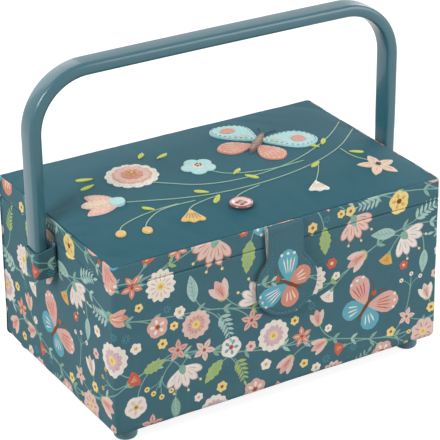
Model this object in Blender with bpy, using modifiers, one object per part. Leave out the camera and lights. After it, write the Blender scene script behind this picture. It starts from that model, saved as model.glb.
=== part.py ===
"""A fabric-covered sewing box with a padded lid, a magnetic clasp tab and a swinging handle.

The box is built up as the real one is: boards make the case and the lid, cotton covers
wrap them, a lining fills the inside and a moulded tray sits on two ledges.
Units are metres. +Z is up, the front faces -Y, and the box stands on Z = 0.
"""

import math

import bmesh
import bpy
from mathutils import Matrix, Vector

# Overall sizes of the covered case and lid
body_width = 0.260
body_depth = 0.166
seam_height = 0.1194
lid_height = 0.0156
corner_radius = 0.004
bottom_roll = 0.0036
seam_roll = 0.0012

# Clearances
gap = 0.0003
overrun = 0.004
merge_distance = 0.00001
same_level = gap / 10

# Feet and their screws
foot_height = 0.008
foot_radius = 0.0082
foot_flat_radius = 0.0058
foot_inset_x = 0.014
foot_inset_y = 0.013
screw_radius = 0.0012
screw_head_radius = 0.0026
screw_head_depth = 0.0016
screw_bite = 0.0032

# Covers, boards and lining of the case
cover_thickness = 0.0025
hem_width = 0.026
base_cover_thickness = 0.0022
base_board_thickness = 0.004
wall_board_thickness = 0.004
lining_thickness = 0.001

# Tray and the two ledges that carry it
ledge_thickness = 0.005
tray_height = 0.030
tray_wall = 0.0018
tray_clearance = 0.0012
tray_under_rivets = 0.0013
tray_corner_radius = 0.004
tray_front_row_depth = 0.052
tray_back_row_cells = 4
finger_notch_radius = 0.011

# Lid
lid_cover_thickness = 0.0012
lid_board_thickness = 0.003
lid_rail_thickness = 0.004
lid_lip_thickness = 0.0012
lid_pad_edge = 0.0015
crown_lift = 0.0024
crown_dome = 0.0038
crown_cells_x = 14
crown_cells_y = 10
pocket_depth = 0.074
pocket_thickness = 0.0012
pocket_inset = 0.006
elastic_width = 0.006
elastic_thickness = 0.0016

# Button on the lid
button_radius = 0.0082
button_thickness = 0.0026
button_rim = 0.0018
button_dish = 0.0009
button_hole_radius = 0.0010
button_hole_spacing = 0.0042
button_off_centre = 0.016
button_inset = 0.028

# Clasp tab
clasp_neck_width = 0.028
clasp_bulb_radius = 0.0245
clasp_length = 0.0700
clasp_fillet = 0.008
clasp_fabric = 0.0008
clasp_board_thickness = 0.0014
clasp_border = 0.0022
magnet_radius = 0.006
catch_plate_radius = 0.008
catch_plate_thickness = 0.001

# Handle bow, sleeves and rivets
handle_side_clearance = 0.008
handle_thickness = 0.008
handle_depth = 0.014
handle_pivot_drop = 0.0134
handle_reach = 0.1384
handle_corner_radius = 0.045
handle_arch = 0.0012
handle_edge_round = 0.0018
handle_toe = 0.008
sleeve_wall = 0.0013
sleeve_rise = 0.011
sleeve_round = 0.0012
rivet_radius = 0.0025
rivet_head_radius = 0.006
rivet_head_thickness = 0.0014
rivet_peen_radius = 0.0045
rivet_peen_thickness = 0.0012
bush_radius = 0.006

# Hinge tape
tape_thickness = 0.0008
tape_inset = 0.014
tape_clear_of_axis = 0.002
tape_lower_width = 0.020
tape_upper_width = 0.010

# Facet counts and the angles at which faces stay sharp
roll_segments = 3
corner_segments = 4
turned_steps = 24
arc_points = 11
arch_points = 9
smooth_limit = math.radians(40)
bevel_limit = math.radians(60)

# Worked-out heights
lid_edge_height = seam_height + lid_height
handle_pivot_height = seam_height - handle_pivot_drop
case_top = seam_height - gap / 2
lid_bottom = seam_height + gap / 2
base_board_low = foot_height + cover_thickness + gap
base_board_high = base_board_low + base_board_thickness
lining_floor_low = base_board_high + gap
lining_floor_high = lining_floor_low + lining_thickness
board_top = case_top - lining_thickness - gap
ledge_low = lining_floor_high + gap
tray_high = handle_pivot_height - rivet_head_radius - tray_under_rivets
tray_low = tray_high - tray_height
ledge_top = tray_low - gap
rim_cover_top = lid_edge_height - lid_cover_thickness - gap
lid_board_high = rim_cover_top - lid_pad_edge - gap
lid_board_low = lid_board_high - lid_board_thickness
rail_high = lid_board_low - gap
rail_low = lid_bottom + lid_lip_thickness + gap
clasp_top = lid_edge_height + gap
clasp_bulb_height = clasp_top - clasp_length + clasp_bulb_radius

# Worked-out widths and depths
board_width = body_width - 2 * (cover_thickness + gap)
board_depth = body_depth - 2 * (cover_thickness + gap)
lining_width = board_width - 2 * (wall_board_thickness + gap)
lining_depth = board_depth - 2 * (wall_board_thickness + gap)
room_width = lining_width - 2 * lining_thickness
room_depth = lining_depth - 2 * lining_thickness
lid_room_width = board_width - 2 * (lid_rail_thickness + gap)
lid_room_depth = board_depth - 2 * (lid_rail_thickness + gap)
clasp_thickness = 2 * clasp_fabric + clasp_board_thickness + 2 * gap

button_x = -button_off_centre
button_y = button_inset - body_depth / 2

# The origin is under the middle of everything, clasp and hinge tape included
body_y = (clasp_thickness - tape_thickness) / 2
front_y = body_y - body_depth / 2
back_y = body_y + body_depth / 2
leg_inner = body_width / 2 + handle_side_clearance
leg_outer = leg_inner + handle_thickness
sleeve_inner = leg_inner - gap - sleeve_wall
sleeve_outer = leg_outer + gap + sleeve_wall

FABRIC = ((0.066, 0.147, 0.188, 1.0), 0.9, 0.0)
PLAIN_COTTON = ((0.056, 0.156, 0.202, 1.0), 0.88, 0.0)
GREYBOARD = ((0.42, 0.36, 0.28, 1.0), 0.85, 0.0)
SATIN = ((0.62, 0.60, 0.52, 1.0), 0.55, 0.0)
FOAM = ((0.75, 0.72, 0.60, 1.0), 0.95, 0.0)
TEAL_PLASTIC = ((0.062, 0.181, 0.223, 1.0), 0.38, 0.0)
DARK_PLASTIC = ((0.015, 0.070, 0.095, 1.0), 0.4, 0.0)
TRAY_PLASTIC = ((0.78, 0.80, 0.78, 1.0), 0.35, 0.0)
STEEL = ((0.62, 0.62, 0.63, 1.0), 0.3, 1.0)
MAGNET = ((0.10, 0.10, 0.11, 1.0), 0.45, 1.0)
PINK_PLASTIC = ((0.60, 0.27, 0.26, 1.0), 0.3, 0.0)
ELASTIC = ((0.70, 0.68, 0.62, 1.0), 0.9, 0.0)


def clear_scene():
    """Remove what the file starts with, so that the model stands alone."""
    for item in list(bpy.data.objects):
        bpy.data.objects.remove(item, do_unlink=True)


clear_scene()
box_parts = bpy.data.collections.new("sewing_box")
cutter_parts = bpy.data.collections.new("cutters")
bpy.context.scene.collection.children.link(box_parts)
bpy.context.scene.collection.children.link(cutter_parts)


def add_pivot(name, place):
    """Add an empty on a joint's axis, for the pieces that turn about it."""
    pivot = bpy.data.objects.new(name, None)
    pivot.location = place
    pivot.empty_display_size = foot_radius
    box_parts.objects.link(pivot)
    bpy.context.view_layer.update()
    return pivot


case_frame = add_pivot("case_frame", (0, body_y, 0))
lid_pivot = add_pivot("lid_pivot", (0, back_y, seam_height))
clasp_pivot = add_pivot("clasp_pivot", (0, front_y - gap, clasp_top))
handle_pivot = add_pivot("handle_pivot", (0, body_y, handle_pivot_height))


def add_piece(name, mesh, place, look, pivot):
    """Put a mesh into the model as a named piece with its own material, under its pivot."""
    piece = bpy.data.objects.new(name, mesh)
    piece.location = place
    box_parts.objects.link(piece)
    colour, roughness, metallic = look
    material = bpy.data.materials.new(name + "_finish")
    material.use_nodes = True
    shader = material.node_tree.nodes["Principled BSDF"]
    shader.inputs["Base Color"].default_value = colour
    shader.inputs["Roughness"].default_value = roughness
    shader.inputs["Metallic"].default_value = metallic
    mesh.materials.append(material)
    piece.parent = pivot
    piece.matrix_parent_inverse = pivot.matrix_world.inverted()
    return piece


def add_cutter(name, mesh, place):
    """Put a mesh among the cutters, which only shape other pieces."""
    cutter = bpy.data.objects.new(name, mesh)
    cutter.location = place
    cutter.hide_render = True
    cutter.display_type = "WIRE"
    cutter_parts.objects.link(cutter)
    return cutter


def boolean(piece, tool, operation="DIFFERENCE"):
    """Cut a tool out of a piece, or join it on."""
    step = piece.modifiers.new(tool.name, "BOOLEAN")
    step.operation = operation
    step.solver = "EXACT"
    step.object = tool


def box_mesh(name, size, upright=0, low_roll=0, high_roll=0):
    """A box about its own middle, with rounded upright, bottom and top edges as asked."""
    shape = bmesh.new()
    bmesh.ops.create_cube(shape, size=1)
    bmesh.ops.scale(shape, vec=size, verts=shape.verts)
    if upright:
        edges = [e for e in shape.edges if abs(e.verts[0].co.z - e.verts[1].co.z) > size[2] / 2]
        bmesh.ops.bevel(
            shape, geom=edges, offset=upright, segments=corner_segments, profile=0.5, affect="EDGES"
        )
    for radius, level in ((low_roll, -size[2] / 2), (high_roll, size[2] / 2)):
        if radius:
            rim = [e for e in shape.edges if all(abs(v.co.z - level) < same_level for v in e.verts)]
            bmesh.ops.bevel(
                shape, geom=rim, offset=radius, segments=roll_segments, profile=0.5, affect="EDGES"
            )
    bmesh.ops.recalc_face_normals(shape, faces=shape.faces)
    mesh = bpy.data.meshes.new(name)
    shape.to_mesh(mesh)
    shape.free()
    return mesh


def middle(low, high):
    """The middle of a box given by its lowest and highest corner."""
    return (Vector(low) + Vector(high)) / 2


def block(name, low, high, look, pivot, **rounding):
    """A box-shaped piece between two corners."""
    size = Vector(high) - Vector(low)
    return add_piece(name, box_mesh(name, size, **rounding), middle(low, high), look, pivot)


def block_cutter(name, low, high, **rounding):
    """A box-shaped cutter between two corners."""
    size = Vector(high) - Vector(low)
    return add_cutter(name, box_mesh(name, size, **rounding), middle(low, high))


def rod_cutter(name, radius, start, end):
    """A round cutter between two points."""
    start = Vector(start)
    end = Vector(end)
    along = end - start
    turn = along.to_track_quat("Z", "Y").to_matrix().to_4x4()
    shape = bmesh.new()
    bmesh.ops.create_cone(
        shape,
        cap_ends=True,
        segments=turned_steps,
        radius1=radius,
        radius2=radius,
        depth=along.length,
        matrix=turn,
    )
    mesh = bpy.data.meshes.new(name)
    shape.to_mesh(mesh)
    shape.free()
    return add_cutter(name, mesh, (start + end) / 2)


def turned_mesh(name, profile, steps=turned_steps):
    """A closed mesh spun from a profile of (radius, height) points, top to bottom, about Z."""
    mesh = bpy.data.meshes.new(name + "_profile")
    points = [(radius, 0, height) for radius, height in profile]
    edges = [(i, i + 1) for i in range(len(points) - 1)]
    mesh.from_pydata(points, edges, [])
    source = bpy.data.objects.new(name + "_profile", mesh)
    cutter_parts.objects.link(source)
    spin = source.modifiers.new("spin", "SCREW")
    spin.steps = steps
    spin.render_steps = steps
    spin.use_merge_vertices = True
    spin.merge_threshold = merge_distance
    graph = bpy.context.evaluated_depsgraph_get()
    made = bpy.data.meshes.new_from_object(source.evaluated_get(graph))
    made.name = name
    bpy.data.objects.remove(source, do_unlink=True)
    made.shade_smooth()
    made.set_sharp_from_angle(angle=smooth_limit)
    return made


def mid_frame_box(half_x, half_y, low, high):
    """The two corners of a box that is centred on the case from above."""
    return (-half_x, body_y - half_y, low), (half_x, body_y + half_y, high)


def foot_places():
    """The four feet's names and centres."""
    reach_x = body_width / 2 - foot_inset_x
    reach_y = body_depth / 2 - foot_inset_y
    for end, side_y in (("front", -1), ("back", 1)):
        for hand, side_x in (("left", -1), ("right", 1)):
            yield end + "_" + hand, side_x * reach_x, body_y + side_y * reach_y


def make_feet():
    """Four domed plastic feet, each with a recess for its screw."""
    top = foot_height - gap
    recess = screw_head_radius + gap
    shank = screw_radius + gap
    dome = foot_radius - foot_flat_radius
    curve = []
    for i in range(corner_segments + 1):
        turn = math.pi / 2 * i / corner_segments
        curve.append((foot_flat_radius + dome * math.cos(turn), dome - dome * math.sin(turn)))
    floor = screw_head_depth + gap
    profile = [(shank, top), (foot_radius, top)] + curve
    profile += [(recess, 0), (recess, floor), (shank, floor), (shank, top)]
    for name, x, y in foot_places():
        mesh = turned_mesh("foot_" + name, profile)
        add_piece("foot_" + name, mesh, (x, y, 0), DARK_PLASTIC, case_frame)


def make_foot_screws():
    """The four screws that hold the feet to the base board."""
    tip = base_board_low + screw_bite
    neck = screw_head_depth
    profile = [(0, tip), (screw_radius, tip - screw_radius), (screw_radius, neck)]
    profile += [(screw_head_radius, neck), (screw_head_radius, 2 * gap), (0, gap)]
    for name, x, y in foot_places():
        mesh = turned_mesh("foot_screw_" + name, profile, steps=12)
        add_piece("foot_screw_" + name, mesh, (x, y, 0), STEEL, case_frame)


def screw_holes(piece, low, high):
    """Drill the foot screws' holes through a piece between two heights."""
    for name, x, y in foot_places():
        hole = rod_cutter(piece.name + "_hole_" + name, screw_radius + gap, (x, y, low), (x, y, high))
        boolean(piece, hole)


def make_case_boards():
    """The base board and the four wall boards that stand on it."""
    half_x = board_width / 2
    half_y = board_depth / 2
    low, high = mid_frame_box(half_x, half_y, base_board_low, base_board_high)
    base = block("base_board", low, high, GREYBOARD, case_frame)
    screw_holes(base, base_board_low - overrun, base_board_low + screw_bite + gap)
    foot_of_wall = base_board_high + gap
    thick = wall_board_thickness
    for name, side in (("front_board", -1), ("back_board", 1)):
        outer = body_y + side * half_y
        inner = outer - side * thick
        low = (-half_x, min(outer, inner), foot_of_wall)
        high = (half_x, max(outer, inner), board_top)
        board = block(name, low, high, GREYBOARD, case_frame)
        if side < 0:
            centre = (0, outer - overrun, clasp_bulb_height)
            depth = (0, outer + catch_plate_thickness + gap, clasp_bulb_height)
            boolean(board, rod_cutter("catch_plate_recess", catch_plate_radius + gap, centre, depth))
    reach = half_y - thick - gap
    for name, side in (("left_board", -1), ("right_board", 1)):
        outer = side * half_x
        inner = outer - side * thick
        low = (min(outer, inner), body_y - reach, foot_of_wall)
        high = (max(outer, inner), body_y + reach, board_top)
        board = block(name, low, high, GREYBOARD, case_frame)
        boolean(board, rivet_hole(name, side))


def rivet_hole(name, side):
    """A cutter for the handle rivet's shank, right across one side of the case."""
    start = (side * (room_width / 2 - overrun), body_y, handle_pivot_height)
    end = (side * (leg_outer + overrun), body_y, handle_pivot_height)
    return rod_cutter(name + "_rivet_hole", rivet_radius + gap, start, end)


def make_body_cover():
    """The padded cotton cover round the walls, turned under the base as a hem."""
    low, high = mid_frame_box(body_width / 2, body_depth / 2, foot_height, case_top)
    rounding = {"upright": corner_radius, "low_roll": bottom_roll, "high_roll": seam_roll}
    cover = block("body_cover", low, high, FABRIC, case_frame, **rounding)
    low, high = mid_frame_box(
        body_width / 2 - cover_thickness,
        body_depth / 2 - cover_thickness,
        foot_height + cover_thickness,
        case_top + overrun,
    )
    boolean(cover, block_cutter("case_hollow", low, high))
    low, high = mid_frame_box(
        body_width / 2 - hem_width,
        body_depth / 2 - hem_width,
        foot_height - overrun,
        foot_height + cover_thickness + overrun,
    )
    boolean(cover, block_cutter("hem_window", low, high))
    screw_holes(cover, foot_height - overrun, foot_height + cover_thickness + overrun)
    boolean(cover, rivet_hole("body_cover_left", -1))
    boolean(cover, rivet_hole("body_cover_right", 1))


def make_base_cover():
    """The plain panel that closes the underside inside the hem."""
    low, high = mid_frame_box(
        body_width / 2 - hem_width - gap,
        body_depth / 2 - hem_width - gap,
        foot_height + cover_thickness - base_cover_thickness,
        foot_height + cover_thickness,
    )
    block("base_cover", low, high, PLAIN_COTTON, case_frame)


def make_body_lining():
    """The lining of floor and walls, turned out over the tops of the boards."""
    low, high = mid_frame_box(lining_width / 2, lining_depth / 2, lining_floor_low, case_top)
    lining = block("body_lining", low, high, SATIN, case_frame)
    low, high = mid_frame_box(board_width / 2, board_depth / 2, case_top - lining_thickness, case_top)
    boolean(lining, block_cutter("lining_flange", low, high), "UNION")
    low, high = mid_frame_box(room_width / 2, room_depth / 2, lining_floor_high, case_top + overrun)
    boolean(lining, block_cutter("case_room", low, high))
    boolean(lining, rivet_hole("body_lining_left", -1))
    boolean(lining, rivet_hole("body_lining_right", 1))


def make_tray_ledges():
    """Two upright strips along the side walls that carry the tray."""
    reach = room_depth / 2 - gap
    for name, side in (("tray_ledge_left", -1), ("tray_ledge_right", 1)):
        outer = side * (room_width / 2 - gap)
        inner = outer - side * ledge_thickness
        low = (min(outer, inner), body_y - reach, ledge_low)
        high = (max(outer, inner), body_y + reach, ledge_top)
        block(name, low, high, SATIN, case_frame)


def make_tray():
    """A moulded tray with one long front cell, a row of back cells and two finger notches."""
    half_x = room_width / 2 - tray_clearance
    half_y = room_depth / 2 - tray_clearance
    low, high = mid_frame_box(half_x, half_y, tray_low, tray_high)
    round_off = tray_corner_radius
    tray = block("tray", low, high, TRAY_PLASTIC, case_frame, upright=round_off, low_roll=tray_wall)
    floor = tray_low + tray_wall
    above = tray_high + overrun
    front = body_y - half_y + tray_wall
    divider = front + tray_front_row_depth
    cell_round = round_off - tray_wall
    low = (-half_x + tray_wall, front, floor)
    high = (half_x - tray_wall, divider, above)
    boolean(tray, block_cutter("tray_front_cell", low, high, upright=cell_round))
    cell_width = (2 * half_x - tray_wall) / tray_back_row_cells - tray_wall
    for i in range(tray_back_row_cells):
        left = -half_x + tray_wall + i * (cell_width + tray_wall)
        low = (left, divider + tray_wall, floor)
        high = (left + cell_width, body_y + half_y - tray_wall, above)
        boolean(tray, block_cutter("tray_back_cell_" + str(i + 1), low, high, upright=cell_round))
    notch_y = front + tray_front_row_depth / 2
    for name, side in (("left", -1), ("right", 1)):
        start = (side * (half_x - tray_wall - overrun), notch_y, tray_high)
        end = (side * (half_x + overrun), notch_y, tray_high)
        boolean(tray, rod_cutter("finger_notch_" + name, finger_notch_radius, start, end))


def make_catch_plate():
    """The steel disc in the front board that the clasp's magnet holds to."""
    front = body_y - board_depth / 2
    thick = catch_plate_thickness
    profile = [(0, thick / 2), (catch_plate_radius, thick / 2)]
    profile += [(catch_plate_radius, -thick / 2), (0, -thick / 2)]
    mesh = turned_mesh("catch_plate", profile)
    mesh.transform(Matrix.Rotation(math.pi / 2, 4, "X"))
    add_piece("catch_plate", mesh, (0, front + thick / 2, clasp_bulb_height), STEEL, case_frame)


def make_handle_rivets():
    """A rivet through each side wall and handle leg, and the bush that spaces the leg."""
    head_face = room_width / 2 - gap
    peen_face = leg_outer - gap
    shank_top = peen_face - rivet_peen_thickness
    head_low = head_face - rivet_head_thickness
    profile = [(0, peen_face), (rivet_peen_radius, peen_face), (rivet_peen_radius, shank_top)]
    profile += [(rivet_radius, shank_top), (rivet_radius, head_face), (rivet_head_radius, head_face)]
    for i in range(1, corner_segments + 1):
        turn = math.pi / 2 * i / corner_segments
        drop = rivet_head_thickness * math.sin(turn)
        profile.append((rivet_head_radius * math.cos(turn), head_face - drop))
    profile[-1] = (0, head_low)
    start = body_width / 2 + gap
    end = sleeve_inner - gap
    hole = rivet_radius + gap
    ring = [(hole, end), (bush_radius, end), (bush_radius, start), (hole, start), (hole, end)]
    for hand, side in (("left", -1), ("right", 1)):
        turn = Matrix.Rotation(side * math.pi / 2, 4, "Y")
        place = (0, body_y, handle_pivot_height)
        mesh = turned_mesh("handle_rivet_" + hand, profile)
        mesh.transform(turn)
        add_piece("handle_rivet_" + hand, mesh, place, STEEL, case_frame)
        mesh = turned_mesh("handle_bush_" + hand, ring)
        mesh.transform(turn)
        add_piece("handle_bush_" + hand, mesh, place, DARK_PLASTIC, case_frame)


def crown_rise(x, y):
    """How far the padded lid stands above its edge at a place measured from its middle."""
    across = min(abs(x) / (body_width / 2), 1)
    along = min(abs(y) / (body_depth / 2), 1)
    lift = crown_lift * (1 - across**8) * (1 - along**8)
    dome = crown_dome * (1 - across**2) * (1 - along**2)
    return lift + dome


def crown_lines(length, cells):
    """Grid lines across the lid: one at each end of the rounded corners, the rest even."""
    inner = length / 2 - corner_radius
    lines = [-length / 2]
    for i in range(cells - 1):
        lines.append(-inner + 2 * inner * i / (cells - 2))
    lines.append(length / 2)
    return lines


def crowned_mesh(name, width, depth, edge_height, flat_height=None):
    """A crowned panel with rounded corners, as a sheet or as a solid down to a flat base."""
    shape = bmesh.new()
    bmesh.ops.create_grid(shape, x_segments=crown_cells_x, y_segments=crown_cells_y, size=1)
    lines_x = crown_lines(width, crown_cells_x)
    lines_y = crown_lines(depth, crown_cells_y)
    pull = corner_radius * (1 - math.sqrt(2) / 2)
    for vert in shape.verts:
        column = round((vert.co.x + 1) / 2 * crown_cells_x)
        row = round((vert.co.y + 1) / 2 * crown_cells_y)
        x = lines_x[column]
        y = lines_y[row]
        if column in (0, crown_cells_x) and row in (0, crown_cells_y):
            x -= math.copysign(pull, x)
            y -= math.copysign(pull, y)
        rise = crown_rise(x * body_width / width, y * body_depth / depth)
        vert.co = (x, y, edge_height + rise)
    if flat_height is not None:
        made = bmesh.ops.extrude_face_region(shape, geom=shape.faces[:])
        for item in made["geom"]:
            if isinstance(item, bmesh.types.BMVert):
                item.co.z = flat_height
        bmesh.ops.recalc_face_normals(shape, faces=shape.faces)
    mesh = bpy.data.meshes.new(name)
    shape.to_mesh(mesh)
    shape.free()
    mesh.shade_smooth()
    mesh.set_sharp_from_angle(angle=smooth_limit)
    return mesh


def make_lid_top():
    """The crowned cotton top over its foam pad."""
    edge = lid_edge_height
    mesh = crowned_mesh("lid_cover", body_width, body_depth, edge)
    cover = add_piece("lid_cover", mesh, (0, body_y, 0), PLAIN_COTTON, lid_pivot)
    shell = cover.modifiers.new("thickness", "SOLIDIFY")
    shell.thickness = lid_cover_thickness
    shell.offset = -1
    pad_edge = edge - lid_cover_thickness - gap
    pad_base = lid_board_high + gap
    mesh = crowned_mesh("lid_pad", board_width, board_depth, pad_edge, pad_base)
    add_piece("lid_pad", mesh, (0, body_y, 0), FOAM, lid_pivot)


def make_lid_rim_cover():
    """The printed cotton round the lid's rim, turned in under the rails as a lip."""
    low, high = mid_frame_box(body_width / 2, body_depth / 2, lid_bottom, rim_cover_top)
    rounding = {"upright": corner_radius, "low_roll": seam_roll}
    cover = block("lid_rim_cover", low, high, FABRIC, lid_pivot, **rounding)
    low, high = mid_frame_box(
        body_width / 2 - cover_thickness,
        body_depth / 2 - cover_thickness,
        lid_bottom + lid_lip_thickness,
        rim_cover_top + overrun,
    )
    boolean(cover, block_cutter("rim_hollow", low, high))
    low, high = mid_frame_box(
        lid_room_width / 2, lid_room_depth / 2, lid_bottom - overrun, rim_cover_top
    )
    boolean(cover, block_cutter("rim_window", low, high))


def make_lid_boards():
    """The lid's board and the four rails under its edges."""
    half_x = board_width / 2
    half_y = board_depth / 2
    thick = lid_rail_thickness
    low, high = mid_frame_box(half_x, half_y, lid_board_low, lid_board_high)
    block("lid_board", low, high, GREYBOARD, lid_pivot)
    for name, side in (("lid_front_rail", -1), ("lid_back_rail", 1)):
        outer = body_y + side * half_y
        inner = outer - side * thick
        low = (-half_x, min(outer, inner), rail_low)
        high = (half_x, max(outer, inner), rail_high)
        block(name, low, high, GREYBOARD, lid_pivot)
    reach = half_y - thick - gap
    for name, side in (("lid_left_rail", -1), ("lid_right_rail", 1)):
        outer = side * half_x
        inner = outer - side * thick
        low = (min(outer, inner), body_y - reach, rail_low)
        high = (max(outer, inner), body_y + reach, rail_high)
        block(name, low, high, GREYBOARD, lid_pivot)


def make_lid_lining():
    """The lid's lining with its elastic-topped pocket."""
    low, high = mid_frame_box(lid_room_width / 2, lid_room_depth / 2, rail_low, rail_high)
    lining = block("lid_lining", low, high, SATIN, lid_pivot)
    thick = lining_thickness
    low, high = mid_frame_box(
        lid_room_width / 2 - thick, lid_room_depth / 2 - thick, rail_low - overrun, rail_high - thick
    )
    boolean(lining, block_cutter("lid_room", low, high))
    top = rail_high - thick - gap
    half_x = lid_room_width / 2 - pocket_inset
    back = body_y + lid_room_depth / 2 - pocket_inset
    front = back - pocket_depth
    low = (-half_x, front, top - pocket_thickness)
    block("lid_pocket", low, (half_x, back, top), SATIN, lid_pivot)
    low = (-half_x, front - gap - elastic_width, top - elastic_thickness)
    block("pocket_elastic", low, (half_x, front - gap, top), ELASTIC, lid_pivot)


def make_button():
    """A dished four-hole button sewn on the lid's top."""
    highest = 0
    for i in range(turned_steps):
        turn = 2 * math.pi * i / turned_steps
        x = button_x + button_radius * math.cos(turn)
        y = button_y + button_radius * math.sin(turn)
        highest = max(highest, crown_rise(x, y))
    seat = lid_edge_height + highest + gap
    inner = button_radius - button_rim
    profile = [(0, button_thickness - button_dish), (inner, button_thickness - button_dish)]
    profile += [(inner + button_rim / 2, button_thickness), (button_radius, button_thickness / 2)]
    profile += [(button_radius - button_rim, 0), (0, 0)]
    place = Vector((button_x, body_y + button_y, seat))
    mesh = turned_mesh("lid_button", profile)
    button = add_piece("lid_button", mesh, place, PINK_PLASTIC, lid_pivot)
    half = button_hole_spacing / 2
    for number, (side_x, side_y) in enumerate(((-1, -1), (1, -1), (1, 1), (-1, 1))):
        foot = place + Vector((side_x * half, side_y * half, -overrun))
        head = place + Vector((side_x * half, side_y * half, overrun))
        boolean(button, rod_cutter("button_hole_" + str(number + 1), button_hole_radius, foot, head))


def clasp_outline(inset):
    """The clasp tab's outline below its hinge: a neck that swells into a round bulb."""
    radius = clasp_bulb_radius - inset
    half_neck = clasp_neck_width / 2 - inset
    fillet = clasp_fillet + inset
    centre = clasp_bulb_radius - clasp_length
    side = half_neck + fillet
    drop = math.sqrt((radius + fillet) ** 2 - side**2)
    meet = math.atan2(drop, side)
    right = [(half_neck, -inset), (half_neck, centre + drop)]
    for i in range(1, corner_segments + 1):
        turn = math.pi + (meet * i / corner_segments)
        right.append((side + fillet * math.cos(turn), centre + drop + fillet * math.sin(turn)))
    steps = arc_points
    for i in range(1, steps + 1):
        turn = meet - (meet + math.pi / 2) * i / steps
        right.append((radius * math.cos(turn), centre + radius * math.sin(turn)))
    left = [(-x, z) for x, z in reversed(right[:-1])]
    return right + left


def outline_mesh(name, points, thickness):
    """A flat plate from an outline in X and Z, centred on its thickness in Y."""
    curve = bpy.data.curves.new(name + "_outline", "CURVE")
    curve.dimensions = "2D"
    curve.fill_mode = "BOTH"
    curve.extrude = thickness / 2
    line = curve.splines.new("POLY")
    line.points.add(len(points) - 1)
    for point, (x, z) in zip(line.points, points):
        point.co = (x, z, 0, 1)
    line.use_cyclic_u = True
    source = bpy.data.objects.new(name + "_outline", curve)
    source.rotation_euler = (math.pi / 2, 0, 0)
    cutter_parts.objects.link(source)
    bpy.context.view_layer.update()
    graph = bpy.context.evaluated_depsgraph_get()
    mesh = bpy.data.meshes.new_from_object(source.evaluated_get(graph))
    mesh.transform(source.matrix_world)
    bpy.data.objects.remove(source, do_unlink=True)
    shape = bmesh.new()
    shape.from_mesh(mesh)
    bmesh.ops.remove_doubles(shape, verts=shape.verts, dist=merge_distance)
    bmesh.ops.recalc_face_normals(shape, faces=shape.faces)
    shape.to_mesh(mesh)
    shape.free()
    mesh.materials.clear()
    mesh.name = name
    return mesh


def make_clasp():
    """The clasp tab: a stiff board between two layers of cotton, with a magnet in its bulb."""
    back_face = front_y - gap
    layers = (
        ("clasp_back_cover", clasp_fabric, 0, FABRIC),
        ("clasp_board", clasp_board_thickness, clasp_border, GREYBOARD),
        ("clasp_front_cover", clasp_fabric, 0, FABRIC),
    )
    for name, thickness, inset, look in layers:
        mesh = outline_mesh(name, clasp_outline(inset), thickness)
        place = (0, back_face - thickness / 2, clasp_top)
        layer = add_piece(name, mesh, place, look, clasp_pivot)
        if name == "clasp_board":
            start = (0, back_face + overrun, clasp_bulb_height)
            end = (0, back_face - thickness - overrun, clasp_bulb_height)
            boolean(layer, rod_cutter("magnet_hole", magnet_radius + gap, start, end))
            half = thickness / 2
            profile = [(0, half), (magnet_radius, half), (magnet_radius, -half), (0, -half)]
            disc = turned_mesh("clasp_magnet", profile)
            disc.transform(Matrix.Rotation(math.pi / 2, 4, "X"))
            place = (0, back_face - half, clasp_bulb_height)
            add_piece("clasp_magnet", disc, place, MAGNET, clasp_pivot)
        back_face -= thickness + gap


def handle_side(inset):
    """Points of the bow's right half, from the toe up and over to the middle of the arch."""
    edge = leg_outer - inset
    top = handle_reach - inset
    radius = handle_corner_radius - inset
    level = top - handle_arch
    points = [(edge, -handle_toe)]
    for i in range(arc_points + 1):
        turn = math.pi / 2 * i / arc_points
        x = edge - radius + radius * math.cos(turn)
        points.append((x, level - radius + radius * math.sin(turn)))
    reach = edge - radius
    for i in range(1, arch_points):
        share = 1 - i / (arch_points - 1)
        points.append((reach * share, level + handle_arch * (1 - share**2)))
    return points


def make_handle_bow():
    """The rigid bow: two legs, large corners and a slightly arched top, all of one section."""
    outer = handle_side(0)
    inner = handle_side(handle_thickness)
    outer_whole = outer + [(-x, z) for x, z in reversed(outer[:-1])]
    inner_whole = inner + [(-x, z) for x, z in reversed(inner[:-1])]
    mesh = outline_mesh("handle_bow", outer_whole + inner_whole[::-1], handle_depth)
    place = (0, body_y, handle_pivot_height)
    bow = add_piece("handle_bow", mesh, place, TEAL_PLASTIC, handle_pivot)
    edge = bow.modifiers.new("rounded_edges", "BEVEL")
    edge.width = handle_edge_round
    edge.segments = 2
    edge.limit_method = "ANGLE"
    edge.angle_limit = bevel_limit
    for name, side in (("left", -1), ("right", 1)):
        boolean(bow, rivet_hole("bow_" + name, side))
        recess = rivet_peen_radius + gap
        start = (side * (leg_outer - 2 * gap - rivet_peen_thickness), body_y, handle_pivot_height)
        end = (side * (leg_outer + overrun), body_y, handle_pivot_height)
        boolean(bow, rod_cutter("peen_recess_" + name, recess, start, end))
    mesh.shade_smooth()
    mesh.set_sharp_from_angle(angle=smooth_limit)


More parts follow.
